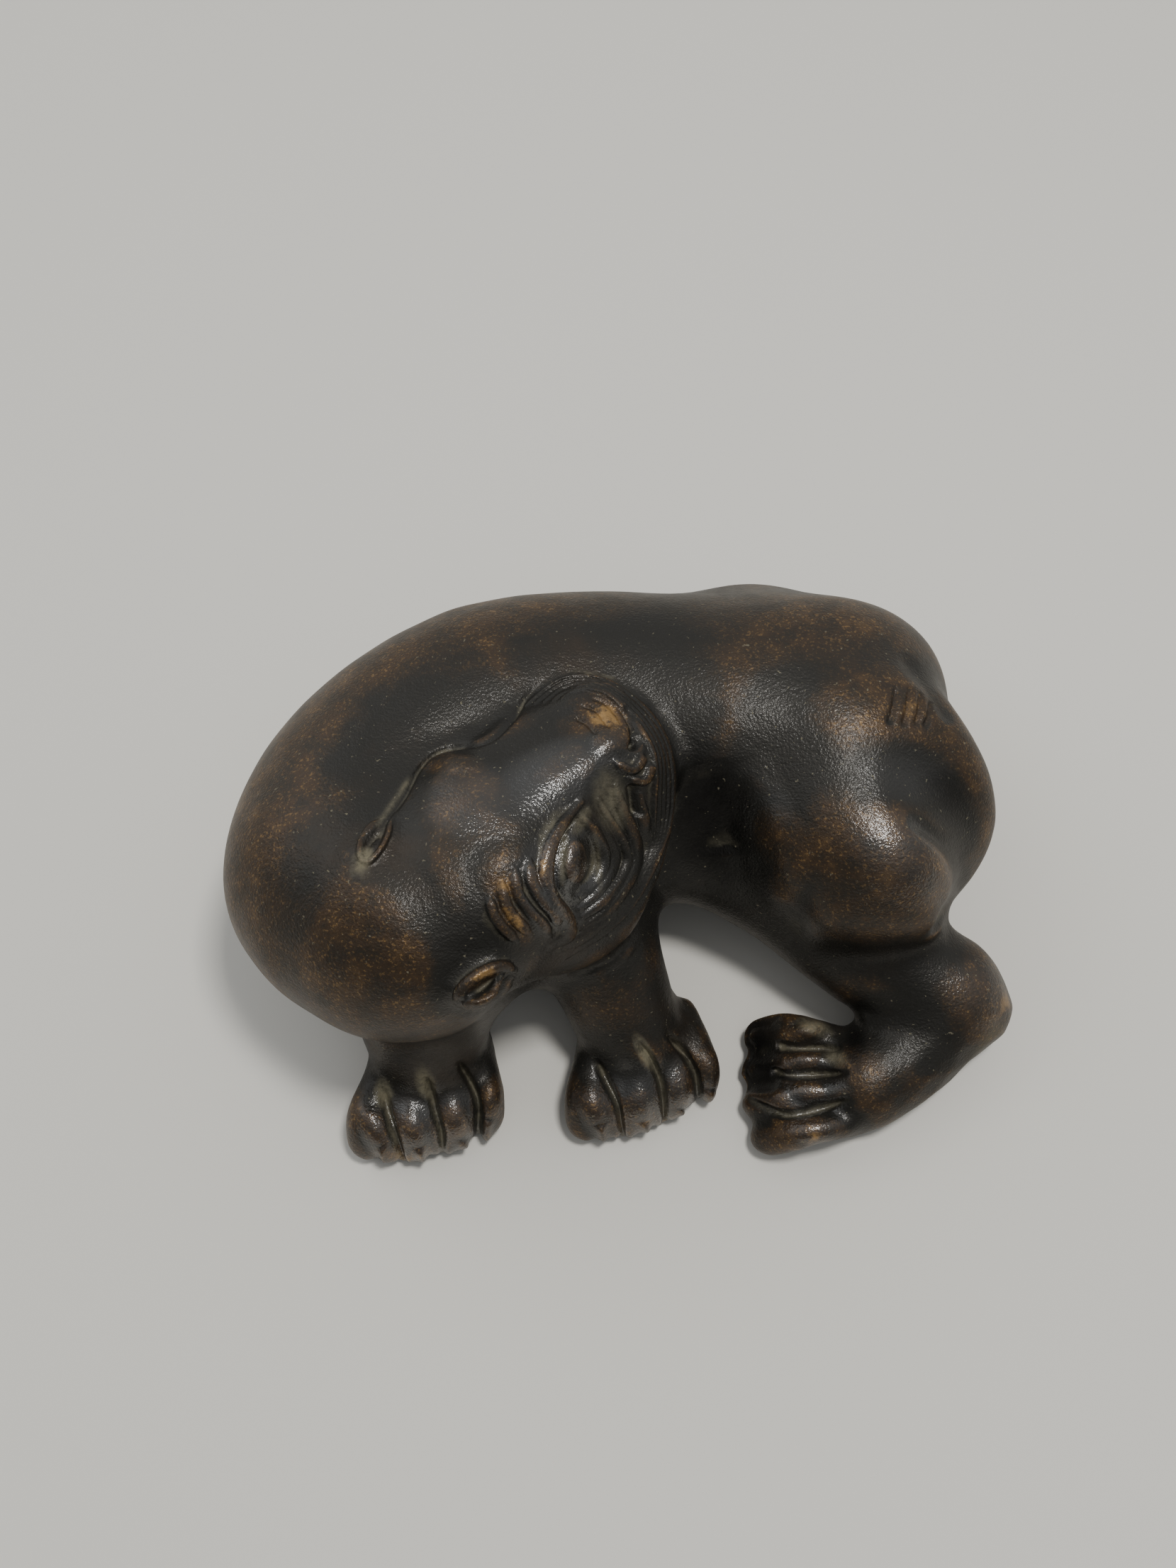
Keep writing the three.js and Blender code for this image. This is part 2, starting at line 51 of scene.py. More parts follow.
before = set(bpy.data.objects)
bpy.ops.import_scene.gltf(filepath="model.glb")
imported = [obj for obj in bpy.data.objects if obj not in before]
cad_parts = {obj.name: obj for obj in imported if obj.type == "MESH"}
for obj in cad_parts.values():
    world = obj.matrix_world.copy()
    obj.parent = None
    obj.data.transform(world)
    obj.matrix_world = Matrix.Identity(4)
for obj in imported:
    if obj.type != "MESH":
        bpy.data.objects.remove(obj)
CAD_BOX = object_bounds()

MM = 0.001

# Lengths are in millimetres unless a comment says otherwise. The carved lines are drawn on a plan at the
# height of the eye, and each place on the skin is carried to that plan along its line of sight from here.
SIGHT = np.array([-8.24, -100.71, 306.0])
PLAN_HEIGHT = 58.0

# Rolls of bronze on the face and the ears: height, half width, then the line's points on the plan
FACE_ROLLS = {
    "lid_rim": (1.1, 1.35, [(-9.5, -3.8), (-11.8, -6.9), (-13.8, -10.3), (-15.1, -14.0), (-15.5, -17.7),
                            (-14.5, -21.3), (-12.7, -23.7), (-11.6, -26.0), (-12.0, -28.1),
                            (-14.0, -29.5)]),
    "lower_lid": (0.75, 1.15, [(-9.7, -6.3), (-7.2, -8.8), (-5.9, -11.9), (-5.6, -14.6), (-6.5, -17.4),
                               (-8.3, -19.8), (-9.9, -21.3)]),
    "inner_fold": (0.75, 0.95, [(-8.0, -5.2), (-5.4, -8.5), (-3.8, -11.9), (-3.7, -14.9), (-4.9, -18.0),
                                (-7.3, -21.0), (-9.5, -23.1)]),
    "middle_fold": (0.85, 1.05, [(-6.0, -3.5), (-4.0, -7.9), (-2.2, -11.3), (-1.7, -14.6),
                                 (-2.9, -17.9), (-5.6, -21.6), (-8.9, -24.6)]),
    "outer_fold": (0.85, 1.05, [(-2.9, -1.0), (-2.0, -4.6), (-0.9, -7.9), (0.0, -11.9), (-0.2, -15.5),
                                (-1.9, -19.3), (-5.0, -23.6), (-9.0, -26.7)]),
    "cheek_fold": (0.7, 1.1, [(0.9, -2.6), (1.2, -5.7), (1.7, -8.8), (1.9, -12.5), (0.8, -16.8),
                              (-2.0, -21.6), (-6.1, -25.8), (-10.2, -28.8), (-13.0, -30.4)]),
    "first_strand": (0.9, 1.15, [(-18.4, -14.6), (-17.9, -18.3), (-16.0, -21.6), (-13.9, -24.2),
                                 (-13.2, -26.3)]),
    "second_strand": (0.9, 1.1, [(-20.8, -16.4), (-20.3, -20.1), (-18.4, -23.2), (-16.1, -25.7),
                                 (-14.8, -27.8)]),
    "third_strand": (0.9, 1.05, [(-22.9, -18.8), (-22.2, -22.2), (-20.4, -25.1), (-17.9, -27.6)]),
    "fourth_strand": (0.8, 1.0, [(-24.9, -21.0), (-24.2, -24.0), (-22.4, -26.6), (-20.2, -28.7)]),
    "near_nostril": (0.9, 0.95, [(-3.6, 3.8), (-1.9, 2.5), (-0.4, 2.2), (0.8, 3.5), (1.1, 5.1)]),
    "lip": (0.8, 0.9, [(-0.9, 0.6), (1.1, 0.0), (2.4, 1.3), (2.9, 3.5)]),
    "jaw_edge": (0.45, 0.7, [(-19.6, -37.6), (-14.0, -36.6), (-8.4, -35.2), (-2.9, -32.2), (0.2, -28.4)]),
    "near_ear_rim": (1.1, 1.05, [(-30.2, -39.0), (-28.6, -36.6), (-25.9, -34.4), (-22.6, -33.1),
                                 (-20.5, -33.7)]),
    "near_ear_lobe": (0.6, 0.8, [(-29.6, -39.8), (-26.2, -39.4), (-23.0, -37.8), (-20.9, -35.1)]),
    "far_ear_rim": (0.6, 0.65, [(-42.6, -6.6), (-45.2, -8.2), (-47.0, -11.0), (-47.1, -13.8),
                                (-45.8, -14.9), (-44.2, -13.2), (-42.8, -10.4), (-42.3, -7.8),
                                (-41.6, -5.8)]),
}

# Cuts between them: depth, half width, then the line's points
FACE_CUTS = {
    "under_lid_rim": (0.9, 0.5, [(-9.6, -5.3), (-11.0, -7.9), (-12.5, -10.7), (-13.5, -13.7),
                                 (-13.6, -16.8), (-12.9, -19.8), (-11.3, -22.2), (-10.2, -24.2),
                                 (-10.3, -26.3)]),
    "first_wrinkle": (0.55, 0.42, [(-10.1, 14.6), (-7.1, 13.9), (-5.4, 11.9), (-4.2, 9.6)]),
    "second_wrinkle": (0.5, 0.42, [(-10.7, 12.2), (-8.3, 10.9), (-6.6, 8.3)]),
    "third_wrinkle": (0.4, 0.4, [(-8.3, 16.2), (-5.3, 15.1), (-3.0, 12.6), (-1.8, 10.0)]),
    "nose_edge": (0.9, 0.6, [(-2.3, 14.2), (-0.6, 11.3), (-0.2, 8.0), (-0.9, 5.4)]),
    "beside_lip": (1.2, 0.8, [(-0.4, -0.3), (0.1, -3.8), (0.4, -6.9)]),
    "crease": (0.8, 0.6, [(-45.0, -12.0), (-42.0, -6.0), (-39.6, -2.4), (-37.3, 2.4), (-33.9, 5.4),
                          (-26.5, 7.5), (-22.0, 11.7), (-18.8, 16.7), (-14.5, 20.6)]),
}

# Domes with a clear edge: height, half length along and across, turn in degrees, and the place
FACE_DOMES = {
    "eyeball": (0.9, 4.4, 2.2, 88, (-10.2, -14.7)),
    "far_ear_bead": (0.5, 1.9, 0.8, 62, (-45.0, -11.4)),
}

# Soft swellings and hollows, given in the same way
FACE_MOUNDS = {
    "brow_knob": (0.9, 7.0, 6.0, 30, (-22.0, -16.0)),
    "forehead": (1.3, 13.0, 11.0, 20, (-33.0, -0.6)),
    "nose_bridge": (1.0, 14.0, 6.6, 28, (-13.0, 2.0)),
    "far_brow": (0.8, 6.8, 2.6, -4, (-31.5, 2.9)),
    "nose_tip": (1.0, 4.4, 3.8, 0, (-4.4, 7.6)),
    "nostril": (-1.5, 1.9, 1.3, 70, (0.2, 7.2)),
    "nose_hollow": (-1.2, 9.5, 5.8, 100, (-3.6, -3.8)),
    "eye_socket": (-0.8, 8.5, 5.5, 85, (-10.0, -13.5)),
    "near_ear_cup": (-2.0, 5.0, 1.9, 32, (-25.0, -36.4)),
    "far_ear_cup": (-1.3, 4.6, 1.9, 62, (-44.9, -10.8)),
}

# Rolls of the ruff run side by side between these two lines round the muzzle
RUFF_INNER = [(-12.3, 15.9), (-9.6, 17.5), (-5.6, 16.7), (-2.6, 14.2), (-0.3, 11.3), (1.5, 8.3),
              (2.8, 5.1), (3.2, 1.3), (2.9, -2.6), (2.7, -6.3), (2.6, -10.0), (2.2, -13.7), (0.3, -18.3),
              (-3.4, -23.2), (-7.6, -27.2), (-12.9, -30.2)]
RUFF_OUTER = [(-20.0, 14.5), (-14.4, 19.4), (-9.6, 20.6), (-5.3, 19.6), (-1.4, 17.0), (2.2, 13.6),
              (5.0, 9.0), (6.4, 3.8), (6.6, -0.7), (6.1, -6.3), (4.6, -11.9), (2.2, -17.4), (-1.2, -23.2),
              (-6.0, -28.0), (-12.0, -31.8)]

# Swellings and hollows of the body, given as the face's are
BODY_MOUNDS = {
    "haunch_top": (1.5, 16.0, 12.0, -68, (46.4, -17.0)),
    "haunch_hollow": (-1.0, 14.0, 9.0, -50, (52.6, -3.4)),
}

# Long soft ridges, and furrows where the height is below 0: height, half width, then the line's points
BODY_LINES = {
    "haunch_edge": (-1.0, 1.9, [(46.0, -6.6), (50.4, -9.4), (53.6, -12.9), (55.0, -17.4), (55.0, -23.5)]),
    "knee_fill": (1.5, 4.0, [(27.0, -25.2), (33.0, -26.0), (40.0, -26.5), (47.0, -26.0), (51.7, -25.2)]),
    "far_crease": (-0.7, 1.3, [(47.7, 25.2), (51.3, 20.0), (54.3, 14.9), (57.0, 10.2)]),
    "thigh_front": (0.8, 3.0, [(19.5, 4.1), (23.3, -5.2), (25.8, -14.3), (24.6, -25.0)]),
    "flank_hollow": (-1.0, 4.0, [(12.0, 4.0), (14.3, -6.4), (15.0, -14.0)]),
}

# Short grooves across the root of the tail
TAIL_CUTS = [
    [(46.9, 18.6), (46.1, 14.1), (44.8, 10.6)],
    [(49.3, 18.4), (48.6, 14.1), (47.4, 10.2)],
    [(51.2, 17.6), (50.7, 13.7), (49.6, 10.2)],
    [(52.9, 15.9), (52.4, 12.8), (51.1, 10.0)],
]

# Toes: a share of the toe height, half length along and across, turn in degrees, and the knuckle's place
TOE_MOUNDS = [
    (1.0, 5.6, 3.0, -59, (-41.8, -60.4)),
    (1.0, 6.2, 3.2, -72, (-35.9, -59.8)),
    (1.0, 6.2, 3.1, -76, (-29.2, -58.0)),
    (0.8, 5.2, 2.3, -92, (-24.0, -55.2)),
    (1.0, 6.0, 3.1, -74, (-7.1, -56.6)),
    (1.0, 6.4, 3.1, -85, (0.3, -55.0)),
    (1.0, 6.0, 2.8, -90, (6.6, -53.2)),
    (0.8, 5.0, 2.2, -93, (11.6, -51.0)),
    (1.0, 7.5, 2.6, 8, (29.9, -59.8)),
    (1.2, 5.6, 2.8, -5, (29.1, -53.9)),
    (0.9, 4.4, 2.1, 0, (28.0, -48.8)),
    (0.8, 4.0, 2.0, 5, (28.0, -44.0)),
]

# Each claw's line, from its root to its tip
CLAWS = [
    [(-41.2, -62.0), (-39.9, -64.8), (-38.4, -68.5)],
    [(-35.4, -62.2), (-34.4, -65.2), (-33.4, -69.0)],
    [(-28.4, -61.0), (-27.9, -64.0), (-27.4, -68.0)],
    [(-24.5, -58.0), (-24.6, -60.8), (-24.6, -65.0)],
    [(-6.4, -58.5), (-5.7, -61.2), (-4.8, -65.5)],
    [(0.7, -58.2), (0.9, -61.2), (1.1, -65.5)],
    [(6.6, -56.2), (6.6, -59.0), (6.6, -63.0)],
    [(11.0, -53.2), (10.9, -55.8), (10.8, -60.0)],
]

# Grooves between the front toes, then between the hind toes
FRONT_TOE_CUTS = [
    [(-41.5, -52.9), (-40.7, -55.9), (-39.5, -60.1), (-37.9, -64.6), (-36.6, -68.0)],
    [(-34.8, -51.4), (-33.7, -54.0), (-32.6, -57.8), (-31.6, -61.0), (-31.1, -66.0)],
    [(-29.4, -48.8), (-27.5, -51.7), (-25.9, -55.9), (-25.6, -60.1), (-25.8, -65.0)],
    [(-7.5, -48.4), (-5.6, -51.7), (-3.7, -55.9), (-2.9, -60.1), (-2.2, -64.5)],
    [(-0.6, -45.5), (1.8, -48.4), (3.6, -52.6), (4.2, -58.2), (4.4, -62.5)],
    [(4.2, -43.6), (7.2, -47.4), (9.3, -51.7), (9.7, -55.4), (9.6, -60.0)],
]

HIND_TOE_CUTS = [
    [(16.5, -54.4), (22.0, -57.4), (27.3, -57.0), (34.4, -55.0)],
    [(20.4, -50.6), (25.0, -51.2), (34.4, -50.8)],
    [(21.6, -46.2), (26.2, -46.7), (33.4, -46.8)],
]

# The line along which the hind toes' tips curl down, and how far the drop spreads to each side of it
TOES_CURL = [(22.2, -39.8), (20.6, -44.0), (19.6, -49.5), (19.6, -54.6)]
TOES_CURL_HALF_WIDTH = 3.4

# Where hands have rubbed the patina back to red-brown bronze: half length along and across, turn in degrees,
# the place and the strength
RUBBED = [
    (6.4, 4.0, -40, (-5.6, 12.6), 1.0),
    (3.6, 2.6, 0, (-10.5, 10.4), 0.75),
    (4.4, 3.4, -60, (-22.6, -19.0), 0.75),
    (5.5, 2.0, -52, (-20.8, -25.0), 0.95),
    (5.0, 1.3, 80, (-15.8, -15.5), 0.85),
    (6.4, 2.2, -4, (-31.8, 2.8), 0.85),
    (6.0, 4.5, -20, (-27.0, -2.0), 0.5),
    (5.4, 1.5, 33, (-25.8, -35.0), 1.0),
    (3.0, 20.0, 8, (-68.0, -12.0), 0.58),
    (9.0, 18.0, 8, (-64.0, -12.0), 0.3),
    (18.0, 5.0, -27, (-50.0, -40.0), 0.6),
    (9.0, 4.5, 0, (-42.0, -37.0), 0.62),
    (9.0, 6.0, -50, (27.0, -12.0), 0.6),
    (7.0, 4.0, -30, (49.0, -20.0), 0.4),
    (3.0, 9.0, -25, (61.0, -39.0), 0.75),
    (14.0, 3.0, 32, (50.0, -55.5), 0.55),
    (28.0, 9.0, 6, (-16.0, 38.0), 0.38),
    (26.0, 8.0, -14, (28.0, 31.0), 0.38),
    (6.0, 5.0, -20, (49.0, 14.5), 0.7),
    (8.0, 2.8, 0, (-36.5, -64.4), 0.8),
    (9.0, 3.0, 6, (1.0, -59.0), 0.7),
    (3.0, 2.0, 0, (27.6, -61.2), 0.9),
    (8.0, 5.0, 0, (-5.0, -40.0), 0.45),
]

# Patches where pale dust has settled, given in the same way
DUSTED = [
    (7.0, 3.4, 100, (-4.4, -3.4), 0.45),
    (6.4, 1.0, 88, (-12.4, -13.6), 0.5),
    (3.4, 1.4, 60, (-9.2, -7.2), 0.5),
    (6.5, 0.8, 95, (-6.6, -14.6), 0.4),
    (3.0, 1.9, 60, (-46.8, -14.6), 0.95),
    (3.0, 1.7, -78, (-41.2, -54.2), 1.0),
    (3.1, 1.8, -70, (-34.5, -52.6), 1.0),
    (3.8, 1.4, -62, (1.0, -47.6), 1.0),
    (3.6, 1.7, -20, (28.8, -43.4), 0.6),
    (2.6, 1.9, -40, (31.8, -48.2), 0.55),
]

# Lines where it has settled: strength, half width, then the line's points
DUST_LINES = [
    (0.5, 0.5, FRONT_TOE_CUTS[0]),
    (0.5, 0.5, FRONT_TOE_CUTS[1]),
    (0.35, 0.4, FRONT_TOE_CUTS[2]),
    (0.3, 0.4, FRONT_TOE_CUTS[3]),
    (0.5, 0.5, FRONT_TOE_CUTS[4]),
    (0.4, 0.4, FRONT_TOE_CUTS[5]),
    (0.35, 0.4, HIND_TOE_CUTS[0]),
    (0.5, 1.3, [(36.8, -61.8), (45.7, -58.0), (54.0, -50.9), (60.2, -41.4)]),
    (0.4, 0.5, [(-45.0, -9.0), (-42.0, -4.0), (-38.9, 1.2)]),
]

# Where handling has polished the wax, given in the same way as the rubbed places
POLISHED = [
    (16.0, 7.0, 25, (-14.0, 1.0), 1.0),
    (10.0, 8.0, 0, (-27.0, -4.0), 0.8),
    (11.0, 9.0, 60, (-13.0, -18.0), 1.0),
    (11.0, 8.0, -60, (44.5, -14.0), 1.0),
    (9.0, 6.0, 0, (48.0, 1.0), 0.5),
    (14.0, 8.0, 0, (-34.0, -60.0), 1.0),
    (14.0, 8.0, 0, (2.0, -56.0), 1.0),
    (7.0, 10.0, 0, (27.0, -55.0), 1.0),
    (7.0, 7.0, 0, (57.0, -38.0), 0.6),
    (6.0, 5.0, 0, (22.0, -5.0), 0.6),
]

# Patches painted black as shade where shade falls: in hollows, on the flank between head and haunch, beside
# the hind toes and on the eye, given in the same way
PAINTED_SHADE_PATCHES = [
    (2.6, 1.5, 88, (-10.2, -14.7), 0.6),
    (14.0, 6.0, -12, (39.0, -31.0), 0.5),
    (16.0, 8.0, 100, (13.0, -6.0), 1.0),
    (9.0, 3.6, 100, (20.0, -47.5), 1.0),
    (2.2, 5.0, 0, (35.5, -47.0), 0.8),
    (6.0, 5.0, 0, (54.0, -1.5), 0.5),
    (7.0, 3.0, 70, (-38.0, -47.5), 0.5),
]

# A roll tapers over this share of its length at each end, from part of its width and height to all of them
ROLL_TAPER = 0.18
ROLL_END_WIDTH = 0.55
ROLL_WIDENING = 0.45
ROLL_END_HEIGHT = 0.3
ROLL_RISING = 0.7

# A groove tapers in the same way, and is followed out to this many of its half widths
CUT_TAPER = 0.22
CUT_REACH = 3.0

# The steeper a dome's edge, the lower this power
DOME_POWER = 0.6

# The ruff's first and last line, as shares of the way from its inner line to its outer, and points to a line
RUFF_SHARES = (0.08, 0.92)
RUFF_STEPS = 24

# Fades from one way of working the skin to another. Each pair says where a fade is 0 and where it is 1, as
# heights, as places on x or y, or as shares of the way out from the middle of the face or of the head.
FACE_MIDDLE = (-16.0, -9.0)
FACE_REACH = (36.0, 34.0)
FACE_EDGE = (1.15, 0.95)
FACE_LOWEST = 30.0
FACE_RISE = (0.0, 8.0)
BESIDE_MUZZLE_X = (0.0, 6.0)
BESIDE_MUZZLE_LIFT = 8.0
HEAD_MIDDLE = (-14.0, -7.0)
HEAD_REACH = (38.0, 36.0)
HEAD_EDGE = (1.35, 1.0)
HEAD_HEIGHTS = (24.0, 34.0)
PAW_HEIGHTS = (24.0, 18.0)
PAW_Y = (-18.0, -24.0)
TOE_HEIGHTS = (22.0, 15.0)
TOE_Y = (-14.0, -22.0)
FRONT_TOE_Y = (-36.0, -42.0)
FRONT_TOE_X = (18.0, 15.0)
FRONT_TOE_HEIGHTS = (0.3, 1.2)
SOLE_HEIGHTS = (2.0, 0.6)
FINE_HEIGHTS = (0.3, 1.0)
CARVED_HEIGHTS = (0.2, 1.5)
TAIL_HEIGHTS = (40.0, 46.0)
BODY_HEIGHTS = (16.0, 24.0)

# How squarely the skin faces the point of sight, as a cosine: where the carving fades in, and where the
# claws and grooves do, because they run on over the toes' ends
FACING = (0.02, 0.3)
OVER_THE_ENDS = (-0.6, -0.2)

# Below this height a point of the sole is never lifted
SOLE = 0.3

# How widely the facets are evened out on the body, on the front paws and where the carving is fine
WIDE = 3.4
MIDDLING = 2.6
CLOSE = 1.1

# The finer mesh begins where the fade is above this, and is evened over this many rounds
LEAST_FINE = 0.05
FINE_ROUNDS = 4

# Wear is told from how far a point lies from its neighbours' mean, after a few rounds and after many
NEAR_ROUNDS = 5
NEAR_WEIGHT = 9.0
FAR_ROUNDS = 30
FAR_WEIGHT = 2.2
WEAR_ROUNDS = 2
MOST_WEAR = 3.0

# Noises in the bronze: waves to the metre, detail and roughness
CLOUDS = (38.0, 5.0, 0.65)
RAGGED_EDGES = (150.0, 6.0, 0.75)
METAL_GRIT = (1700.0, 2.0, 0.6)
DUST_COVER = (420.0, 5.0, 0.7)
DUST_FLECKS = (1250.0, 2.0, 0.5)
UNEVEN_GLOSS = (120.0, 5.0, 0.7)
PITS = (2200.0, 2.0, 0.55)
LUMPS = (900.0, 3.0, 0.6)

# How noises and fields are read: the two values looked for, then the strengths that they become
CLOUDS_READ = (0.5, 0.75, 0.0, 0.3)
RAGGED_READ = (0.3, 0.68, 0.0, 1.0)
WORN_READ = (0.5, 1.8, 0.0, 0.6)
HOLLOW_READ = (1.0, 2.8, 0.0, 0.42)
METAL_READ = (0.62, 1.0, 0.0, 0.9)
GRIT_READ = (0.55, 0.68, 0.0, 1.0)
COVER_READ = (0.3, 0.62, 0.3, 1.1)
FLECKS_READ = (0.69, 0.75, 0.0, 0.6)
GLOSS_READ = (0.3, 0.75, 0.4, 0.54)

# The same for the ragged noise, as it breaks up the brown, the bare metal and the black painted shade
RAGGED_BROWN = (0.0, 1.0, 0.35, 1.5)
RAGGED_METAL = (0.0, 1.0, 0.65, 1.15)
RAGGED_PAINTED_SHADE = (0.0, 1.0, 1.0, 0.7)

# The same for the dust, as it hides the metal, dulls it and covers the wax
DUSTY_METAL = (0.0, 0.7, 0.4, 0.05)
DUSTY_ROUGHNESS = (0.0, 0.8, 0.0, 0.3)
DUSTY_WAX = (0.0, 0.8, 1.0, 0.1)

# Shares: of the grit that shows, of the painted shade that hides the wax, and of the wax with and without
# polish
GRIT_SHARE = 0.55
PAINTED_SHADE_SHARE = 0.8
POLISH_SHARE = 0.88
PLAIN_SHARE = 0.12

# The metal's tint, its wax and its pitted skin, with the pits' depth in metres
METAL_TINT = (0.6, 0.55, 0.5, 1.0)
WAX_ROUGHNESS = 0.15
WAX_IOR = 1.7
PITS_SHARE = 0.6
LUMPS_SHARE = 0.4
PITS_STRENGTH = 0.9
PITS_DEPTH = 0.00024

# The floor's paper
PAPER_ROUGHNESS = 0.7
PAPER_SHINE = 0.25

# The two lamps, with their places and sizes in metres. The second has a share of the first one's power.
KEY_PLACE = (0.16, 0.02, 0.86)
KEY_SIZE = 0.13
KEY_COLOUR = (1.0, 0.985, 0.96)
WINDOW_PLACE = (-0.8, 0.5, 0.7)
WINDOW_SIZE = 1.0
WINDOW_SHARE = 0.7
WINDOW_COLOUR = (0.96, 0.98, 1.0)

# The air is brightest from one side. The pairs say how far a direction leans that way, and its brightness.
AIR_FROM = (0.1, 0.62, 0.78)
AIR_LEAST = (-0.55, 0.1)
AIR_MOST = (0.9, 1.0)
AIR_COLOUR = (0.95, 0.97, 1.0, 1.0)

# The camera: its tilt from straight down in degrees, lens and sensor, and the nearest it sees in metres
CAMERA_TILT = 22.0
CAMERA_LENS = 35.28
CAMERA_SENSOR = 36.0
CAMERA_NEAREST = 0.01


def clear_choice():
    """Leaves object mode with nothing chosen"""
    if bpy.context.object and bpy.context.object.mode != "OBJECT":
        bpy.ops.object.mode_set(mode="OBJECT")
    bpy.ops.object.select_all(action="DESELECT")


def choose(piece):
    """Leaves only this piece chosen, and active"""
    clear_choice()
    piece.select_set(True)
    bpy.context.view_layer.objects.active = piece


def smoothstep(low, high, value):
    """0 up to the first number, 1 from the second on, and smooth between them"""
    share = np.clip((value - low) / (high - low), 0.0, 1.0)
    return share * share * (3.0 - 2.0 * share)


def spline(points, steps=6):
    """A smooth line through the points"""
    knots = np.array([points[0], *points, points[-1]], float)
    line = []
    for before, start, end, after in zip(knots, knots[1:], knots[2:], knots[3:]):
        slope = end - before
        bend = 2 * before - 5 * start + 4 * end - after
        twist = 3 * start - before - 3 * end + after
        for t in np.arange(steps) / steps:
            line.append(0.5 * (2 * start + slope * t + bend * t**2 + twist * t**3))
    return np.array([*line, knots[-1]])


def beside(plan, line):
    """Each place's distance from a line, and how far along the line it lies"""
    nearest = np.full(len(plan), np.inf)
    along = np.zeros(len(plan))
    spans = len(line) - 1
    for step, (start, end) in enumerate(zip(line, line[1:])):
        run = end - start
        t = np.clip((plan - start) @ run / max(run @ run, 1e-9), 0.0, 1.0)
        away = np.hypot(*(plan - start - t[:, None] * run).T)
        closer = away < nearest
        nearest[closer] = away[closer]
        along[closer] = ((step + t) / spans)[closer]
    return nearest, along


def near_line(plan, line, reach):
    """Numbers of the places within reach of the line's box"""
    low = line.min(0) - reach
    high = line.max(0) + reach
    return np.flatnonzero(np.all((plan > low) & (plan < high), axis=1))


def roll(plan, height, half_width, points):
    """A rounded roll along a line, lower and thinner at both ends"""
    relief = np.zeros(len(plan))
    line = spline(points)
    close = near_line(plan, line, half_width)
    away, along = beside(plan[close], line)
    taper = smoothstep(0.0, ROLL_TAPER, 0.5 - np.abs(along - 0.5))
    width = half_width * (ROLL_END_WIDTH + ROLL_WIDENING * taper)
    top = height * (ROLL_END_HEIGHT + ROLL_RISING * taper)
    relief[close] = top * np.sqrt(np.clip(1.0 - (away / width) ** 2, 0.0, 1.0))
    return relief


def cut(plan, depth, half_width, points):
    """The depth of a soft groove along a line, or the height of a soft ridge, less at both ends"""
    relief = np.zeros(len(plan))
    line = spline(points)
    close = near_line(plan, line, CUT_REACH * half_width)
    away, along = beside(plan[close], line)
    taper = smoothstep(0.0, CUT_TAPER, 0.5 - np.abs(along - 0.5))
    relief[close] = depth * taper * np.exp(-((away / half_width) ** 2))
    return relief


def oval(plan, half_length, half_width, turn, place):
    """From 1 in the middle of an oval to 0 at its edge and beyond"""
    angle = math.radians(turn)
    offset = plan - np.array(place)
    along = offset @ np.array([math.cos(angle), math.sin(angle)]) / half_length
    across = offset @ np.array([-math.sin(angle), math.cos(angle)]) / half_width
    return np.clip(1.0 - along**2 - across**2, 0.0, 1.0)


def between(inner, outer, share):
    """A line a share of the way from one line to another"""
    steps = np.linspace(0.0, 1.0, RUFF_STEPS)
    ends = []
    for line in (spline(inner), spline(outer)):
        ends.append(line[np.round(steps * (len(line) - 1)).astype(int)])
    return ends[0] + (ends[1] - ends[0]) * share


def places_of(piece):
    """The piece's points, in millimetres"""
    flat = np.empty(len(piece.data.vertices) * 3, np.float32)
    piece.data.vertices.foreach_get("co", flat)
    return flat.reshape(-1, 3).astype(float) / MM


def put_places(piece, points):
    """Moves the piece's points to these places, in millimetres"""
    piece.data.vertices.foreach_set("co", (points * MM).astype(np.float32).ravel())
    piece.data.update()


def normals_of(piece):
    flat = np.empty(len(piece.data.vertices) * 3, np.float32)
    piece.data.vertex_normals.foreach_get("vector", flat)
    return flat.reshape(-1, 3).astype(float)


def neighbours_of(piece):
    """Each edge's two ends, once in each direction"""
    edges = np.empty(len(piece.data.edges) * 2, np.int32)
    piece.data.edges.foreach_get("vertices", edges)
    ends = edges.reshape(-1, 2)
    return np.concatenate([ends[:, 0], ends[:, 1]]), np.concatenate([ends[:, 1], ends[:, 0]])


def evened(values, neighbours, rounds):
    """Values averaged with their neighbours' over several rounds"""
    here, there = neighbours
    count = np.maximum(np.bincount(here, minlength=len(values)), 1)
    for _ in range(rounds):
        sums = [np.bincount(here, column[there], len(values)) for column in values.T]
        values = np.stack([column / count for column in sums], axis=1)
    return values


def rounded_off(points, neighbours, rounds):
    """Evened points, with what the evening took off the wide forms put back"""
    once = evened(points, neighbours, rounds)
    return once + evened(points - once, neighbours, rounds)


def on_plan(points):
    """The points carried to the plan along their lines of sight"""
    share = (PLAN_HEIGHT - SIGHT[2]) / (points[:, 2] - SIGHT[2])
    return SIGHT[:2] + (points[:, :2] - SIGHT[:2]) * share[:, None]


def seen(points, normals, low=FACING[0], high=FACING[1]):
    """1 where the skin faces the point of sight, 0 where it turns away"""
    towards = SIGHT - points
    towards /= np.linalg.norm(towards, axis=1)[:, None]
    return smoothstep(low, high, np.sum(towards * normals, axis=1))


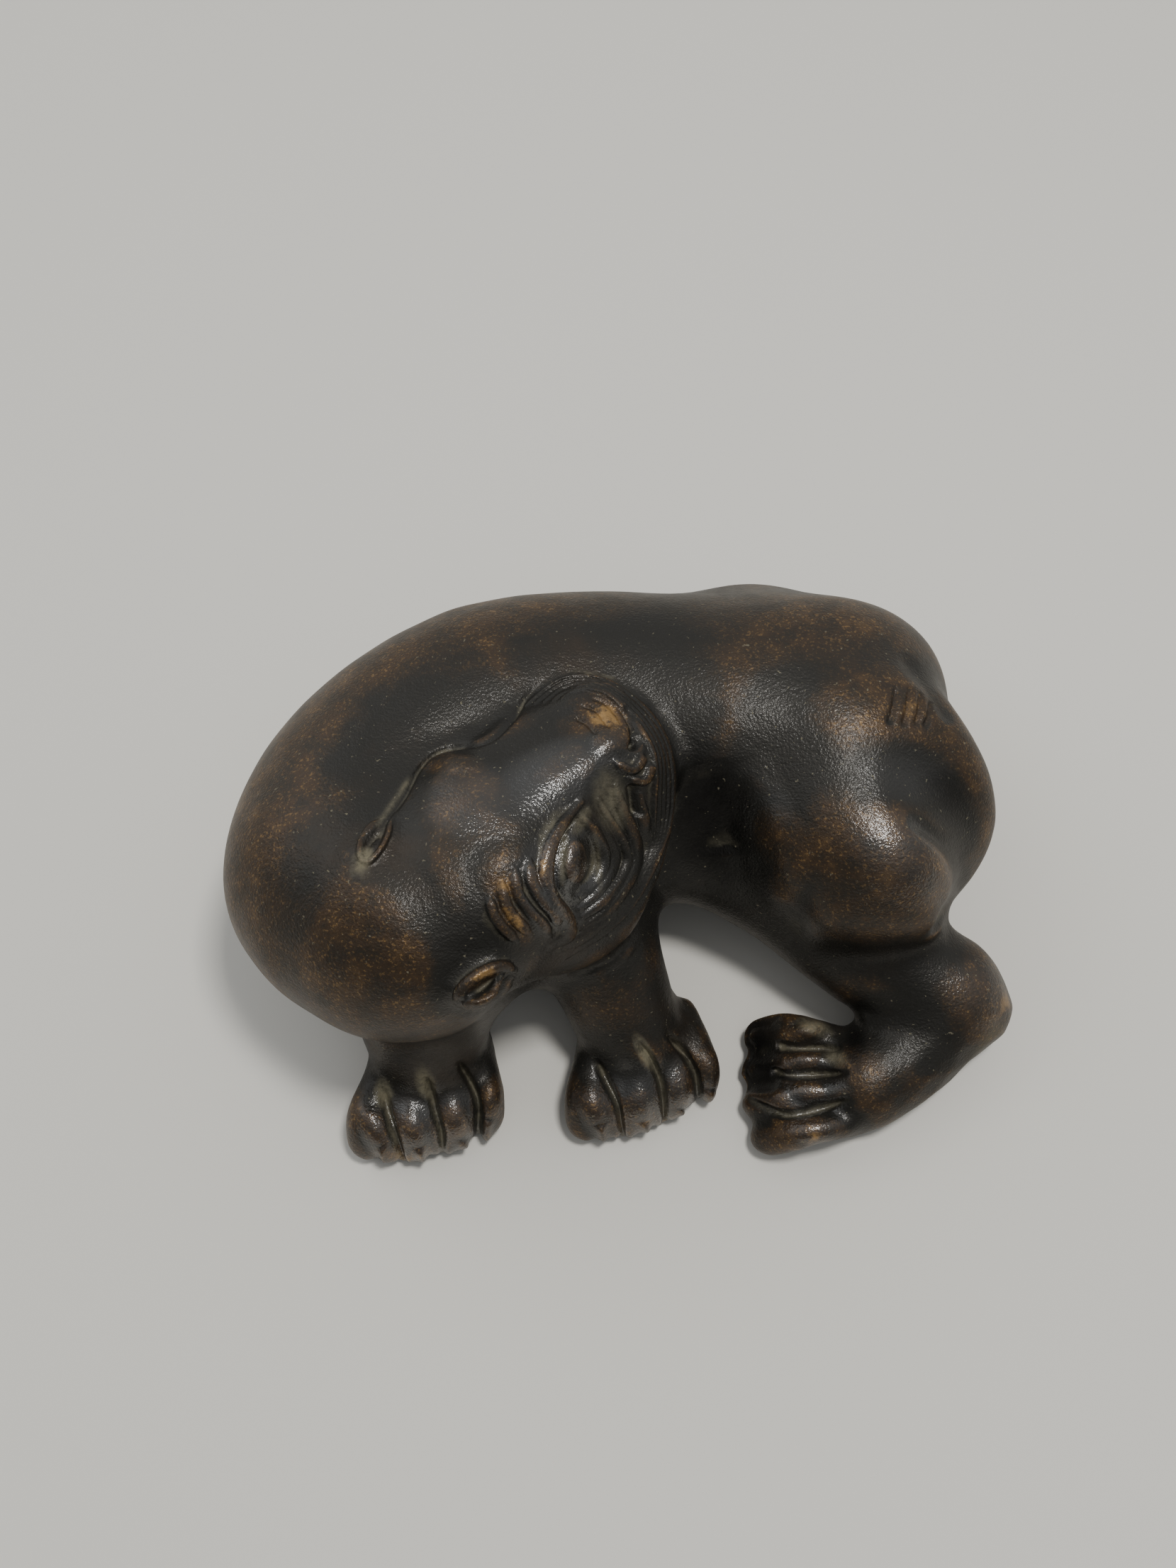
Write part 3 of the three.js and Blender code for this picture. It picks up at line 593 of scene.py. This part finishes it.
def face_relief(plan, settings):
    """How far the face's carving stands up or down on its plan"""
    rolls = np.zeros(len(plan))
    for height, half_width, points in FACE_ROLLS.values():
        rolls = np.maximum(rolls, roll(plan, height, half_width, points))
    for share in np.linspace(*RUFF_SHARES, settings.ruff_lines):
        line = between(RUFF_INNER, RUFF_OUTER, share)
        rolls = np.maximum(rolls, roll(plan, settings.ruff_height, settings.ruff_half_width, line))
    for height, half_length, half_width, turn, place in FACE_DOMES.values():
        dome = height * oval(plan, half_length, half_width, turn, place) ** DOME_POWER
        rolls = np.maximum(rolls, dome)
    relief = rolls + mounds(plan, FACE_MOUNDS.values())
    for depth, half_width, points in FACE_CUTS.values():
        relief = relief - cut(plan, depth, half_width, points)
    return relief


def mounds(plan, table):
    """Soft swellings and hollows, summed"""
    relief = np.zeros(len(plan))
    for rise, half_length, half_width, turn, place in table:
        relief += rise * oval(plan, half_length, half_width, turn, place) ** 2
    return relief


def patches(plan, table):
    """The strongest of several oval patches at each place"""
    strongest = np.zeros(len(plan))
    for half_length, half_width, turn, place, strength in table:
        strongest = np.maximum(strongest, strength * oval(plan, half_length, half_width, turn, place))
    return strongest


def body_relief(plan):
    """The soft forms of the haunches and the flanks"""
    relief = mounds(plan, BODY_MOUNDS.values())
    for rise, half_width, points in BODY_LINES.values():
        relief += cut(plan, rise, half_width, points)
    return relief


def toe_relief(plan, settings):
    """The toes' knuckles, and the drop where the hind toes curl down"""
    relief = settings.toe_height * mounds(plan, TOE_MOUNDS)
    return relief - cut(plan, settings.toes_drop, TOES_CURL_HALF_WIDTH, TOES_CURL)


def deepest(plan, depth, half_width, lines):
    """The deepest of several like grooves, or the highest of several ridges, at each place"""
    depths = np.zeros(len(plan))
    for points in lines:
        depths = np.maximum(depths, cut(plan, depth, half_width, points))
    return depths


def claws_and_grooves(plan, settings):
    """The claws, and the grooves between the toes, which run on down over the toes' ends"""
    claws = deepest(plan, settings.claw_height, settings.claw_half_width, CLAWS)
    front = deepest(plan, settings.toe_groove_depth, settings.toe_groove_half_width, FRONT_TOE_CUTS)
    hind = deepest(plan, settings.hind_groove_depth, settings.hind_groove_half_width, HIND_TOE_CUTS)
    return claws - np.maximum(front, hind)


def tail_relief(plan, settings):
    """The short cuts over the root of the tail"""
    relief = np.zeros(len(plan))
    for points in TAIL_CUTS:
        relief -= cut(plan, settings.tail_groove_depth, settings.tail_groove_half_width, points)
    return relief


def out_from(plan, middle, reach):
    """How far out from the middle of an oval each place lies, 1 at its edge"""
    return np.hypot((plan[:, 0] - middle[0]) / reach[0], (plan[:, 1] - middle[1]) / reach[1])


def on_face(points, plan):
    """1 on the face, 0 away from it"""
    edge = smoothstep(*FACE_EDGE, out_from(plan, FACE_MIDDLE, FACE_REACH))
    lowest = FACE_LOWEST + BESIDE_MUZZLE_LIFT * smoothstep(*BESIDE_MUZZLE_X, plan[:, 0])
    return edge * smoothstep(*FACE_RISE, points[:, 2] - lowest)


def on_paws(points):
    """1 on the near paws, 0 away from them"""
    return smoothstep(*PAW_HEIGHTS, points[:, 2]) * smoothstep(*PAW_Y, points[:, 1])


def set_field(piece, name, values):
    """Keeps one number for each of the piece's points, for its material to read"""
    field = piece.data.attributes.new(name, "FLOAT", "POINT")
    field.data.foreach_set("value", values.astype(np.float32))


class TigerSizes(bpy.types.PropertyGroup):
    """Sizes of the tiger's carving and skin, in millimetres, and the colours of its patina, its dust and its
    painted shade
    """

    grain: FloatProperty(
        name="Mesh grain", description="Spacing of the skin's points while it is carved",
        default=0.5, min=0.3, max=3.0)
    toe_groove_depth: FloatProperty(
        name="Front groove depth", description="Depth of the grooves between front toes",
        default=1.6, min=0.0, max=4.0)
    toe_groove_half_width: FloatProperty(
        name="Front groove half width", description="Half the width of the grooves between front toes",
        default=0.62, min=0.1, max=3.0)
    hind_groove_depth: FloatProperty(
        name="Hind groove depth", description="Depth of the grooves between hind toes",
        default=1.3, min=0.0, max=4.0)
    hind_groove_half_width: FloatProperty(
        name="Hind groove half width", description="Half the width of the grooves between hind toes",
        default=0.6, min=0.1, max=3.0)
    toe_height: FloatProperty(
        name="Toe height", description="How far each knuckle is rounded up",
        default=1.5, min=0.0, max=3.0)
    toes_drop: FloatProperty(
        name="Hind toes' curl", description="How far the hind toes' tips curl down",
        default=1.7, min=0.0, max=5.0)
    claw_height: FloatProperty(
        name="Claw height", description="How far each claw stands up",
        default=1.0, min=0.0, max=2.0)
    claw_half_width: FloatProperty(
        name="Claw half width", description="Half the width of a claw",
        default=0.9, min=0.1, max=2.0)
    tail_groove_depth: FloatProperty(
        name="Tail groove depth", description="Depth of the cuts over the tail's root",
        default=0.7, min=0.0, max=2.0)
    tail_groove_half_width: FloatProperty(
        name="Tail groove half width", description="Half the width of those cuts",
        default=0.5, min=0.1, max=2.0)
    ruff_lines: IntProperty(
        name="Ruff lines", description="Lines side by side round the muzzle",
        default=5, min=0, max=9)
    ruff_height: FloatProperty(
        name="Ruff height", description="How far each line of the ruff stands up",
        default=0.75, min=0.0, max=2.0)
    ruff_half_width: FloatProperty(
        name="Ruff half width", description="Half the width of a line of the ruff",
        default=0.42, min=0.1, max=2.0)
    most_triangles: IntProperty(
        name="Most triangles", description="Triangles kept in the finished skin",
        default=190000, min=20000, max=199000)
    patina: FloatVectorProperty(
        name="Patina", description="Colour of the dark patina",
        subtype="COLOR", default=(0.02, 0.0195, 0.017), min=0.0, max=1.0)
    brown: FloatVectorProperty(
        name="Brown patina", description="Colour of the patina where it has thinned",
        subtype="COLOR", default=(0.062, 0.038, 0.021), min=0.0, max=1.0)
    bare: FloatVectorProperty(
        name="Rubbed bronze", description="Colour where the patina is rubbed through",
        subtype="COLOR", default=(0.3, 0.18, 0.066), min=0.0, max=1.0)
    # Near-black painted in as shade where shade falls in hollows and on the flank
    painted_shade_colour: FloatVectorProperty(
        name="Painted shade", description="Colour of the black grime in the shadowed hollows",
        subtype="COLOR", default=(0.004, 0.004, 0.004), min=0.0, max=1.0)
    dust: FloatVectorProperty(
        name="Dust", description="Colour of the dust in the grooves",
        subtype="COLOR", default=(0.2, 0.18, 0.12), min=0.0, max=1.0)


class StudioSizes(bpy.types.PropertyGroup):
    """The studio's floor and light"""

    floor_width: FloatProperty(
        name="Floor width", description="Width of the floor",
        default=3.0, min=0.1, unit="LENGTH")
    floor_colour: FloatVectorProperty(
        name="Floor", description="Colour of the floor",
        subtype="COLOR", default=(0.72, 0.7, 0.64), min=0.0, max=1.0)
    key_power: FloatProperty(
        name="Key light", description="Power of the main light, in watts",
        default=4.6, min=0.0)
    air: FloatProperty(
        name="Air", description="Strength of the light from all round",
        default=0.6, min=0.0)


def new_material(name):
    """A material with an empty node tree"""
    material = bpy.data.materials.new(name)
    material.use_nodes = True
    material.node_tree.nodes.clear()
    return material


def bronze_material(settings):
    """Dark cast bronze with a fine pitted skin, rubbed on its high places, dusty in its hollows, and painted
    black as shade where shade falls
    """
    material = new_material("patinated_bronze")
    tree = material.node_tree
    nodes, links = tree.nodes, tree.links

    def field(name):
        made = nodes.new("ShaderNodeAttribute")
        made.attribute_name = name
        return made.outputs["Fac"]

    def noise(scale, detail, roughness):
        made = nodes.new("ShaderNodeTexNoise")
        made.inputs["Scale"].default_value = scale
        made.inputs["Detail"].default_value = detail
        made.inputs["Roughness"].default_value = roughness
        links.new(coordinates.outputs["Object"], made.inputs["Vector"])
        return made.outputs["Fac"]

    def sum_of(kind, a, b, clamp=False):
        made = nodes.new("ShaderNodeMath")
        made.operation = kind
        made.use_clamp = clamp
        for socket, value in zip(made.inputs, (a, b)):
            if isinstance(value, (int, float)):
                socket.default_value = value
            else:
                links.new(value, socket)
        return made.outputs[0]

    def stretch(value, low, high, to_low, to_high):
        made = nodes.new("ShaderNodeMapRange")
        made.interpolation_type = "SMOOTHSTEP"
        links.new(value, made.inputs["Value"])
        for name, number in (("From Min", low), ("From Max", high), ("To Min", to_low), ("To Max", to_high)):
            made.inputs[name].default_value = number
        return made.outputs["Result"]

    # A Mix node's two colours are its sockets 6 and 7, and its colour comes out of socket 2
    def blend(share, a, b):
        made = nodes.new("ShaderNodeMix")
        made.data_type = "RGBA"
        links.new(share, made.inputs[0])
        for socket, value in ((made.inputs[6], a), (made.inputs[7], b)):
            if isinstance(value, tuple):
                socket.default_value = (*value, 1.0)
            else:
                links.new(value, socket)
        return made.outputs[2]

    coordinates = nodes.new("ShaderNodeTexCoord")
    shader = nodes.new("ShaderNodeBsdfPrincipled")
    output = nodes.new("ShaderNodeOutputMaterial")
    links.new(shader.outputs[0], output.inputs["Surface"])

    # Colour: brown where the patina has thinned, metal where it is rubbed through, then black painted as
    # shade where shade falls, then dust
    patina = tuple(settings.patina)
    brown = tuple(settings.brown)
    bare = tuple(settings.bare)
    clouds = stretch(noise(*CLOUDS), *CLOUDS_READ)
    ragged = stretch(noise(*RAGGED_EDGES), *RAGGED_READ)
    edges = stretch(field("worn"), *WORN_READ)
    thinned = sum_of("MAXIMUM", field("rubbed"), edges)
    browned = sum_of("MULTIPLY", thinned, stretch(ragged, *RAGGED_BROWN), clamp=True)
    colour = blend(sum_of("MAXIMUM", browned, clouds), patina, brown)
    through = sum_of("MULTIPLY", thinned, stretch(ragged, *RAGGED_METAL))
    colour = blend(stretch(through, *METAL_READ), colour, bare)
    grit = sum_of("MULTIPLY", stretch(noise(*METAL_GRIT), *GRIT_READ), browned)
    colour = blend(sum_of("MULTIPLY", grit, GRIT_SHARE), colour, bare)
    # Painted shade: black laid over the colour where shade falls, broken up by the ragged noise
    black = sum_of("MULTIPLY", field("painted_shade"), stretch(ragged, *RAGGED_PAINTED_SHADE))
    colour = blend(black, colour, tuple(settings.painted_shade_colour))
    hollows = stretch(field("hollow"), *HOLLOW_READ)
    settled = sum_of("MAXIMUM", hollows, field("dusted"))
    cover = stretch(noise(*DUST_COVER), *COVER_READ)
    settled = sum_of("MULTIPLY", settled, cover, clamp=True)
    flecks = stretch(noise(*DUST_FLECKS), *FLECKS_READ)
    settled = sum_of("MAXIMUM", settled, flecks)
    links.new(blend(settled, colour, tuple(settings.dust)), shader.inputs["Base Color"])

    # Metal under the patina, dull where dust lies, and a thin wax that shines where neither dust nor painted
    # shade covers it
    links.new(stretch(settled, *DUSTY_METAL), shader.inputs["Metallic"])
    gloss = stretch(noise(*UNEVEN_GLOSS), *GLOSS_READ)
    dulled = stretch(settled, *DUSTY_ROUGHNESS)
    links.new(sum_of("ADD", gloss, dulled, clamp=True), shader.inputs["Roughness"])
    shader.inputs["Specular Tint"].default_value = METAL_TINT
    covered = sum_of("MAXIMUM", settled, sum_of("MULTIPLY", black, PAINTED_SHADE_SHARE))
    wax = sum_of("ADD", sum_of("MULTIPLY", field("polished"), POLISH_SHARE), PLAIN_SHARE)
    bright = stretch(covered, *DUSTY_WAX)
    links.new(sum_of("MULTIPLY", wax, bright), shader.inputs["Coat Weight"])
    shader.inputs["Coat Roughness"].default_value = WAX_ROUGHNESS
    shader.inputs["Coat IOR"].default_value = WAX_IOR

    # The skin of the casting: fine pits over soft unevenness
    pits = noise(*PITS)
    lumps = noise(*LUMPS)
    pits = sum_of("MULTIPLY", pits, PITS_SHARE)
    lumps = sum_of("MULTIPLY", lumps, LUMPS_SHARE)
    height = sum_of("ADD", pits, lumps)
    bump = nodes.new("ShaderNodeBump")
    bump.inputs["Strength"].default_value = PITS_STRENGTH
    bump.inputs["Distance"].default_value = PITS_DEPTH
    links.new(height, bump.inputs["Height"])
    links.new(bump.outputs[0], shader.inputs["Normal"])
    links.new(bump.outputs[0], shader.inputs["Coat Normal"])
    return material


class TIGER_OT_cast(bpy.types.Operator):
    """Cast the tiger's skin, carve its face, toes and tail, and patinate it"""

    bl_idname = "tiger.cast"
    bl_label = "Cast the Tiger"

    def execute(self, context):
        settings = context.scene.tiger_sizes
        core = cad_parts["tiger_figure"]
        skin = bpy.data.objects.new("tiger_bronze", core.data.copy())
        context.scene.collection.objects.link(skin)
        choose(skin)
        bpy.ops.object.mode_set(mode="EDIT")
        bpy.ops.mesh.select_all(action="SELECT")
        bpy.ops.mesh.remove_doubles(threshold=1e-6)
        bpy.ops.object.mode_set(mode="OBJECT")
        remesh = skin.modifiers.new("even_grain", "REMESH")
        remesh.mode = "VOXEL"
        remesh.voxel_size = settings.grain * MM
        bpy.ops.object.modifier_apply(modifier=remesh.name)

        self.even_out(skin, settings)
        self.refine(skin)
        self.carve(skin, settings)
        self.thin_out(skin, settings)
        self.note_wear(skin)
        skin.data.materials.clear()
        skin.data.materials.append(bronze_material(settings))
        choose(skin)
        bpy.ops.object.shade_smooth()
        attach(skin, "root")
        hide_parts("tiger_figure")
        return {"FINISHED"}

    def even_out(self, skin, settings):
        """Rounds the facets away: widely on the body, and closely on the head and the paws"""
        points = places_of(skin)
        neighbours = neighbours_of(skin)
        per_square = 2.0 / settings.grain**2
        wide, middling, close = (rounded_off(points, neighbours, int(round(per_square * reach**2)))
                                 for reach in (WIDE, MIDDLING, CLOSE))
        x, y, height = points.T
        head = smoothstep(*HEAD_EDGE, out_from(on_plan(points), HEAD_MIDDLE, HEAD_REACH))
        head *= smoothstep(*HEAD_HEIGHTS, height)
        toes = smoothstep(*TOE_HEIGHTS, height) * smoothstep(*TOE_Y, y)
        soles = smoothstep(*SOLE_HEIGHTS, height)
        fine = np.maximum(np.maximum(head, toes), soles)[:, None]
        smooth = wide + (close - wide) * fine
        front = toes * smoothstep(*FRONT_TOE_Y, y) * smoothstep(*FRONT_TOE_X, x)
        front *= smoothstep(*FRONT_TOE_HEIGHTS, height)
        smooth += (middling - smooth) * front[:, None]
        lowered = np.minimum(smooth[:, 2], height)
        smooth[:, 2] = np.where(height < SOLE, lowered, smooth[:, 2])
        put_places(skin, self.boxed(smooth))

    def boxed(self, points):
        """The points kept within the CAD figure's box"""
        low, high = (np.array(corner) / MM for corner in CAD_BOX)
        return np.clip(points, low, high)

    def refine(self, skin):
        """Gives the face and the near paws a finer mesh for their carving"""
        chosen = self.finely_carved(places_of(skin)) > LEAST_FINE
        choose(skin)
        bpy.ops.object.mode_set(mode="EDIT")
        bpy.ops.mesh.select_mode(type="VERT")
        bpy.ops.mesh.select_all(action="DESELECT")
        bpy.ops.object.mode_set(mode="OBJECT")
        skin.data.vertices.foreach_set("select", chosen)
        bpy.ops.object.mode_set(mode="EDIT")
        bpy.ops.mesh.subdivide(number_cuts=1)
        bpy.ops.object.mode_set(mode="OBJECT")
        points = places_of(skin)
        fine = self.finely_carved(points) * smoothstep(*FINE_HEIGHTS, points[:, 2])
        smooth = rounded_off(points, neighbours_of(skin), FINE_ROUNDS)
        put_places(skin, self.boxed(points + (smooth - points) * fine[:, None]))

    def finely_carved(self, points):
        """1 on the face and the near paws"""
        return np.maximum(on_face(points, on_plan(points)), on_paws(points))

    def carve(self, skin, settings):
        """Raises and lowers the skin, along its normals, by the relief drawn on the plan"""
        points = places_of(skin)
        normals = normals_of(skin)
        plan = on_plan(points)
        height = points[:, 2]
        relief = face_relief(plan, settings) * on_face(points, plan)
        relief += toe_relief(plan, settings) * on_paws(points)
        relief += tail_relief(plan, settings) * smoothstep(*TAIL_HEIGHTS, height)
        relief += body_relief(plan) * smoothstep(*BODY_HEIGHTS, height)
        relief *= seen(points, normals)
        above_sole = smoothstep(*CARVED_HEIGHTS, height)
        down_the_ends = on_paws(points) * seen(points, normals, *OVER_THE_ENDS) * above_sole
        relief += claws_and_grooves(plan, settings) * down_the_ends
        put_places(skin, self.boxed(points + normals * relief[:, None]))

    def thin_out(self, skin, settings):
        """Takes faces out where the skin is flattest, down to the number wanted"""
        triangles = sum(len(face.vertices) - 2 for face in skin.data.polygons)
        choose(skin)
        decimate = skin.modifiers.new("fewer_faces", "DECIMATE")
        decimate.ratio = min(settings.most_triangles / triangles, 1.0)
        bpy.ops.object.modifier_apply(modifier=decimate.name)

    def note_wear(self, skin):
        """Notes at each point how hollow, worn, rubbed and dusty the skin is, where shade is painted black,
        and how polished it is
        """
        points = places_of(skin)
        normals = normals_of(skin)
        neighbours = neighbours_of(skin)
        near = np.sum((evened(points, neighbours, NEAR_ROUNDS) - points) * normals, axis=1)
        far = np.sum((evened(points, neighbours, FAR_ROUNDS) - points) * normals, axis=1)
        curve = evened((near * NEAR_WEIGHT + far * FAR_WEIGHT)[:, None], neighbours, WEAR_ROUNDS)[:, 0]
        plan = on_plan(points)
        facing = seen(points, normals)
        dusted = patches(plan, DUSTED)
        for strength, half_width, line in DUST_LINES:
            dusted = np.maximum(dusted, cut(plan, strength, half_width, line))
        set_field(skin, "hollow", np.clip(curve, 0.0, MOST_WEAR))
        set_field(skin, "worn", np.clip(-curve, 0.0, MOST_WEAR))
        set_field(skin, "rubbed", patches(plan, RUBBED) * facing)
        set_field(skin, "dusted", dusted * facing)
        # Where black is painted in as shade
        set_field(skin, "painted_shade", patches(plan, PAINTED_SHADE_PATCHES) * facing)
        set_field(skin, "polished", patches(plan, POLISHED) * facing)


class TIGER_OT_stage(bpy.types.Operator):
    """Lay the floor, hang the lights and set up the camera"""

    bl_idname = "tiger.stage"
    bl_label = "Set the Stage"

    def execute(self, context):
        settings = context.scene.studio_sizes
        clear_choice()
        bpy.ops.mesh.primitive_plane_add(size=settings.floor_width)
        floor = context.object
        floor.name = "studio_floor"
        paper = new_material("pale_floor")
        nodes, links = paper.node_tree.nodes, paper.node_tree.links
        shader = nodes.new("ShaderNodeBsdfPrincipled")
        shader.inputs["Base Color"].default_value = (*settings.floor_colour, 1.0)
        shader.inputs["Roughness"].default_value = PAPER_ROUGHNESS
        shader.inputs["Specular IOR Level"].default_value = PAPER_SHINE
        output = nodes.new("ShaderNodeOutputMaterial")
        links.new(shader.outputs[0], output.inputs["Surface"])
        floor.data.materials.append(paper)

        window_power = settings.key_power * WINDOW_SHARE
        self.lamp("key_light", KEY_PLACE, KEY_SIZE, settings.key_power, KEY_COLOUR)
        self.lamp("window_light", WINDOW_PLACE, WINDOW_SIZE, window_power, WINDOW_COLOUR)
        context.scene.world = self.air(settings)

        camera = bpy.data.objects.new("camera", bpy.data.cameras.new("camera"))
        context.scene.collection.objects.link(camera)
        camera.location = Vector(SIGHT) * MM
        camera.rotation_euler = (math.radians(CAMERA_TILT), 0.0, 0.0)
        camera.data.sensor_width = CAMERA_SENSOR
        camera.data.lens = CAMERA_LENS
        camera.data.clip_start = CAMERA_NEAREST
        context.scene.camera = camera
        return {"FINISHED"}

    def air(self, settings):
        """Light from all round, dimmer from the side where one stands to look"""
        world = bpy.data.worlds.new("studio_air")
        world.use_nodes = True
        nodes, links = world.node_tree.nodes, world.node_tree.links
        direction = nodes.new("ShaderNodeTexCoord")
        leaning = nodes.new("ShaderNodeVectorMath")
        leaning.operation = "DOT_PRODUCT"
        leaning.inputs[1].default_value = AIR_FROM
        links.new(direction.outputs["Generated"], leaning.inputs[0])
        brighter = nodes.new("ShaderNodeMapRange")
        brighter.interpolation_type = "SMOOTHSTEP"
        links.new(leaning.outputs["Value"], brighter.inputs["Value"])
        for name, number in zip(("From Min", "To Min", "From Max", "To Max"), (*AIR_LEAST, *AIR_MOST)):
            brighter.inputs[name].default_value = number
        strength = nodes.new("ShaderNodeMath")
        strength.operation = "MULTIPLY"
        links.new(brighter.outputs["Result"], strength.inputs[0])
        strength.inputs[1].default_value = settings.air
        nodes["Background"].inputs["Color"].default_value = AIR_COLOUR
        links.new(strength.outputs[0], nodes["Background"].inputs["Strength"])
        return world

    def lamp(self, name, place, size, power, colour):
        """A square area lamp turned towards the origin"""
        light = bpy.data.lights.new(name, "AREA")
        light.size = size
        light.energy = power
        light.color = colour
        lamp = bpy.data.objects.new(name, light)
        bpy.context.scene.collection.objects.link(lamp)
        lamp.location = place
        lamp.rotation_euler = (-Vector(place)).to_track_quat("-Z", "Y").to_euler()


class TIGER_PT_panel(bpy.types.Panel):
    """The tiger's steps, in order"""

    bl_label = "Bronze Tiger"
    bl_idname = "TIGER_PT_panel"
    bl_space_type = "VIEW_3D"
    bl_region_type = "UI"
    bl_category = "Tiger"

    def draw(self, context):
        layout = self.layout
        for name in TigerSizes.__annotations__:
            layout.prop(context.scene.tiger_sizes, name)
        layout.operator("tiger.cast")
        for name in StudioSizes.__annotations__:
            layout.prop(context.scene.studio_sizes, name)
        layout.operator("tiger.stage")


CLASSES = (TigerSizes, StudioSizes, TIGER_OT_cast, TIGER_OT_stage, TIGER_PT_panel)


def register():
    for one in CLASSES:
        bpy.utils.register_class(one)
    bpy.types.Scene.tiger_sizes = PointerProperty(type=TigerSizes)
    bpy.types.Scene.studio_sizes = PointerProperty(type=StudioSizes)


def unregister():
    del bpy.types.Scene.studio_sizes
    del bpy.types.Scene.tiger_sizes
    for one in reversed(CLASSES):
        bpy.utils.unregister_class(one)


def main():
    register()
    bpy.ops.tiger.cast()
    bpy.ops.tiger.stage()


if __name__ == "__main__":
    main()
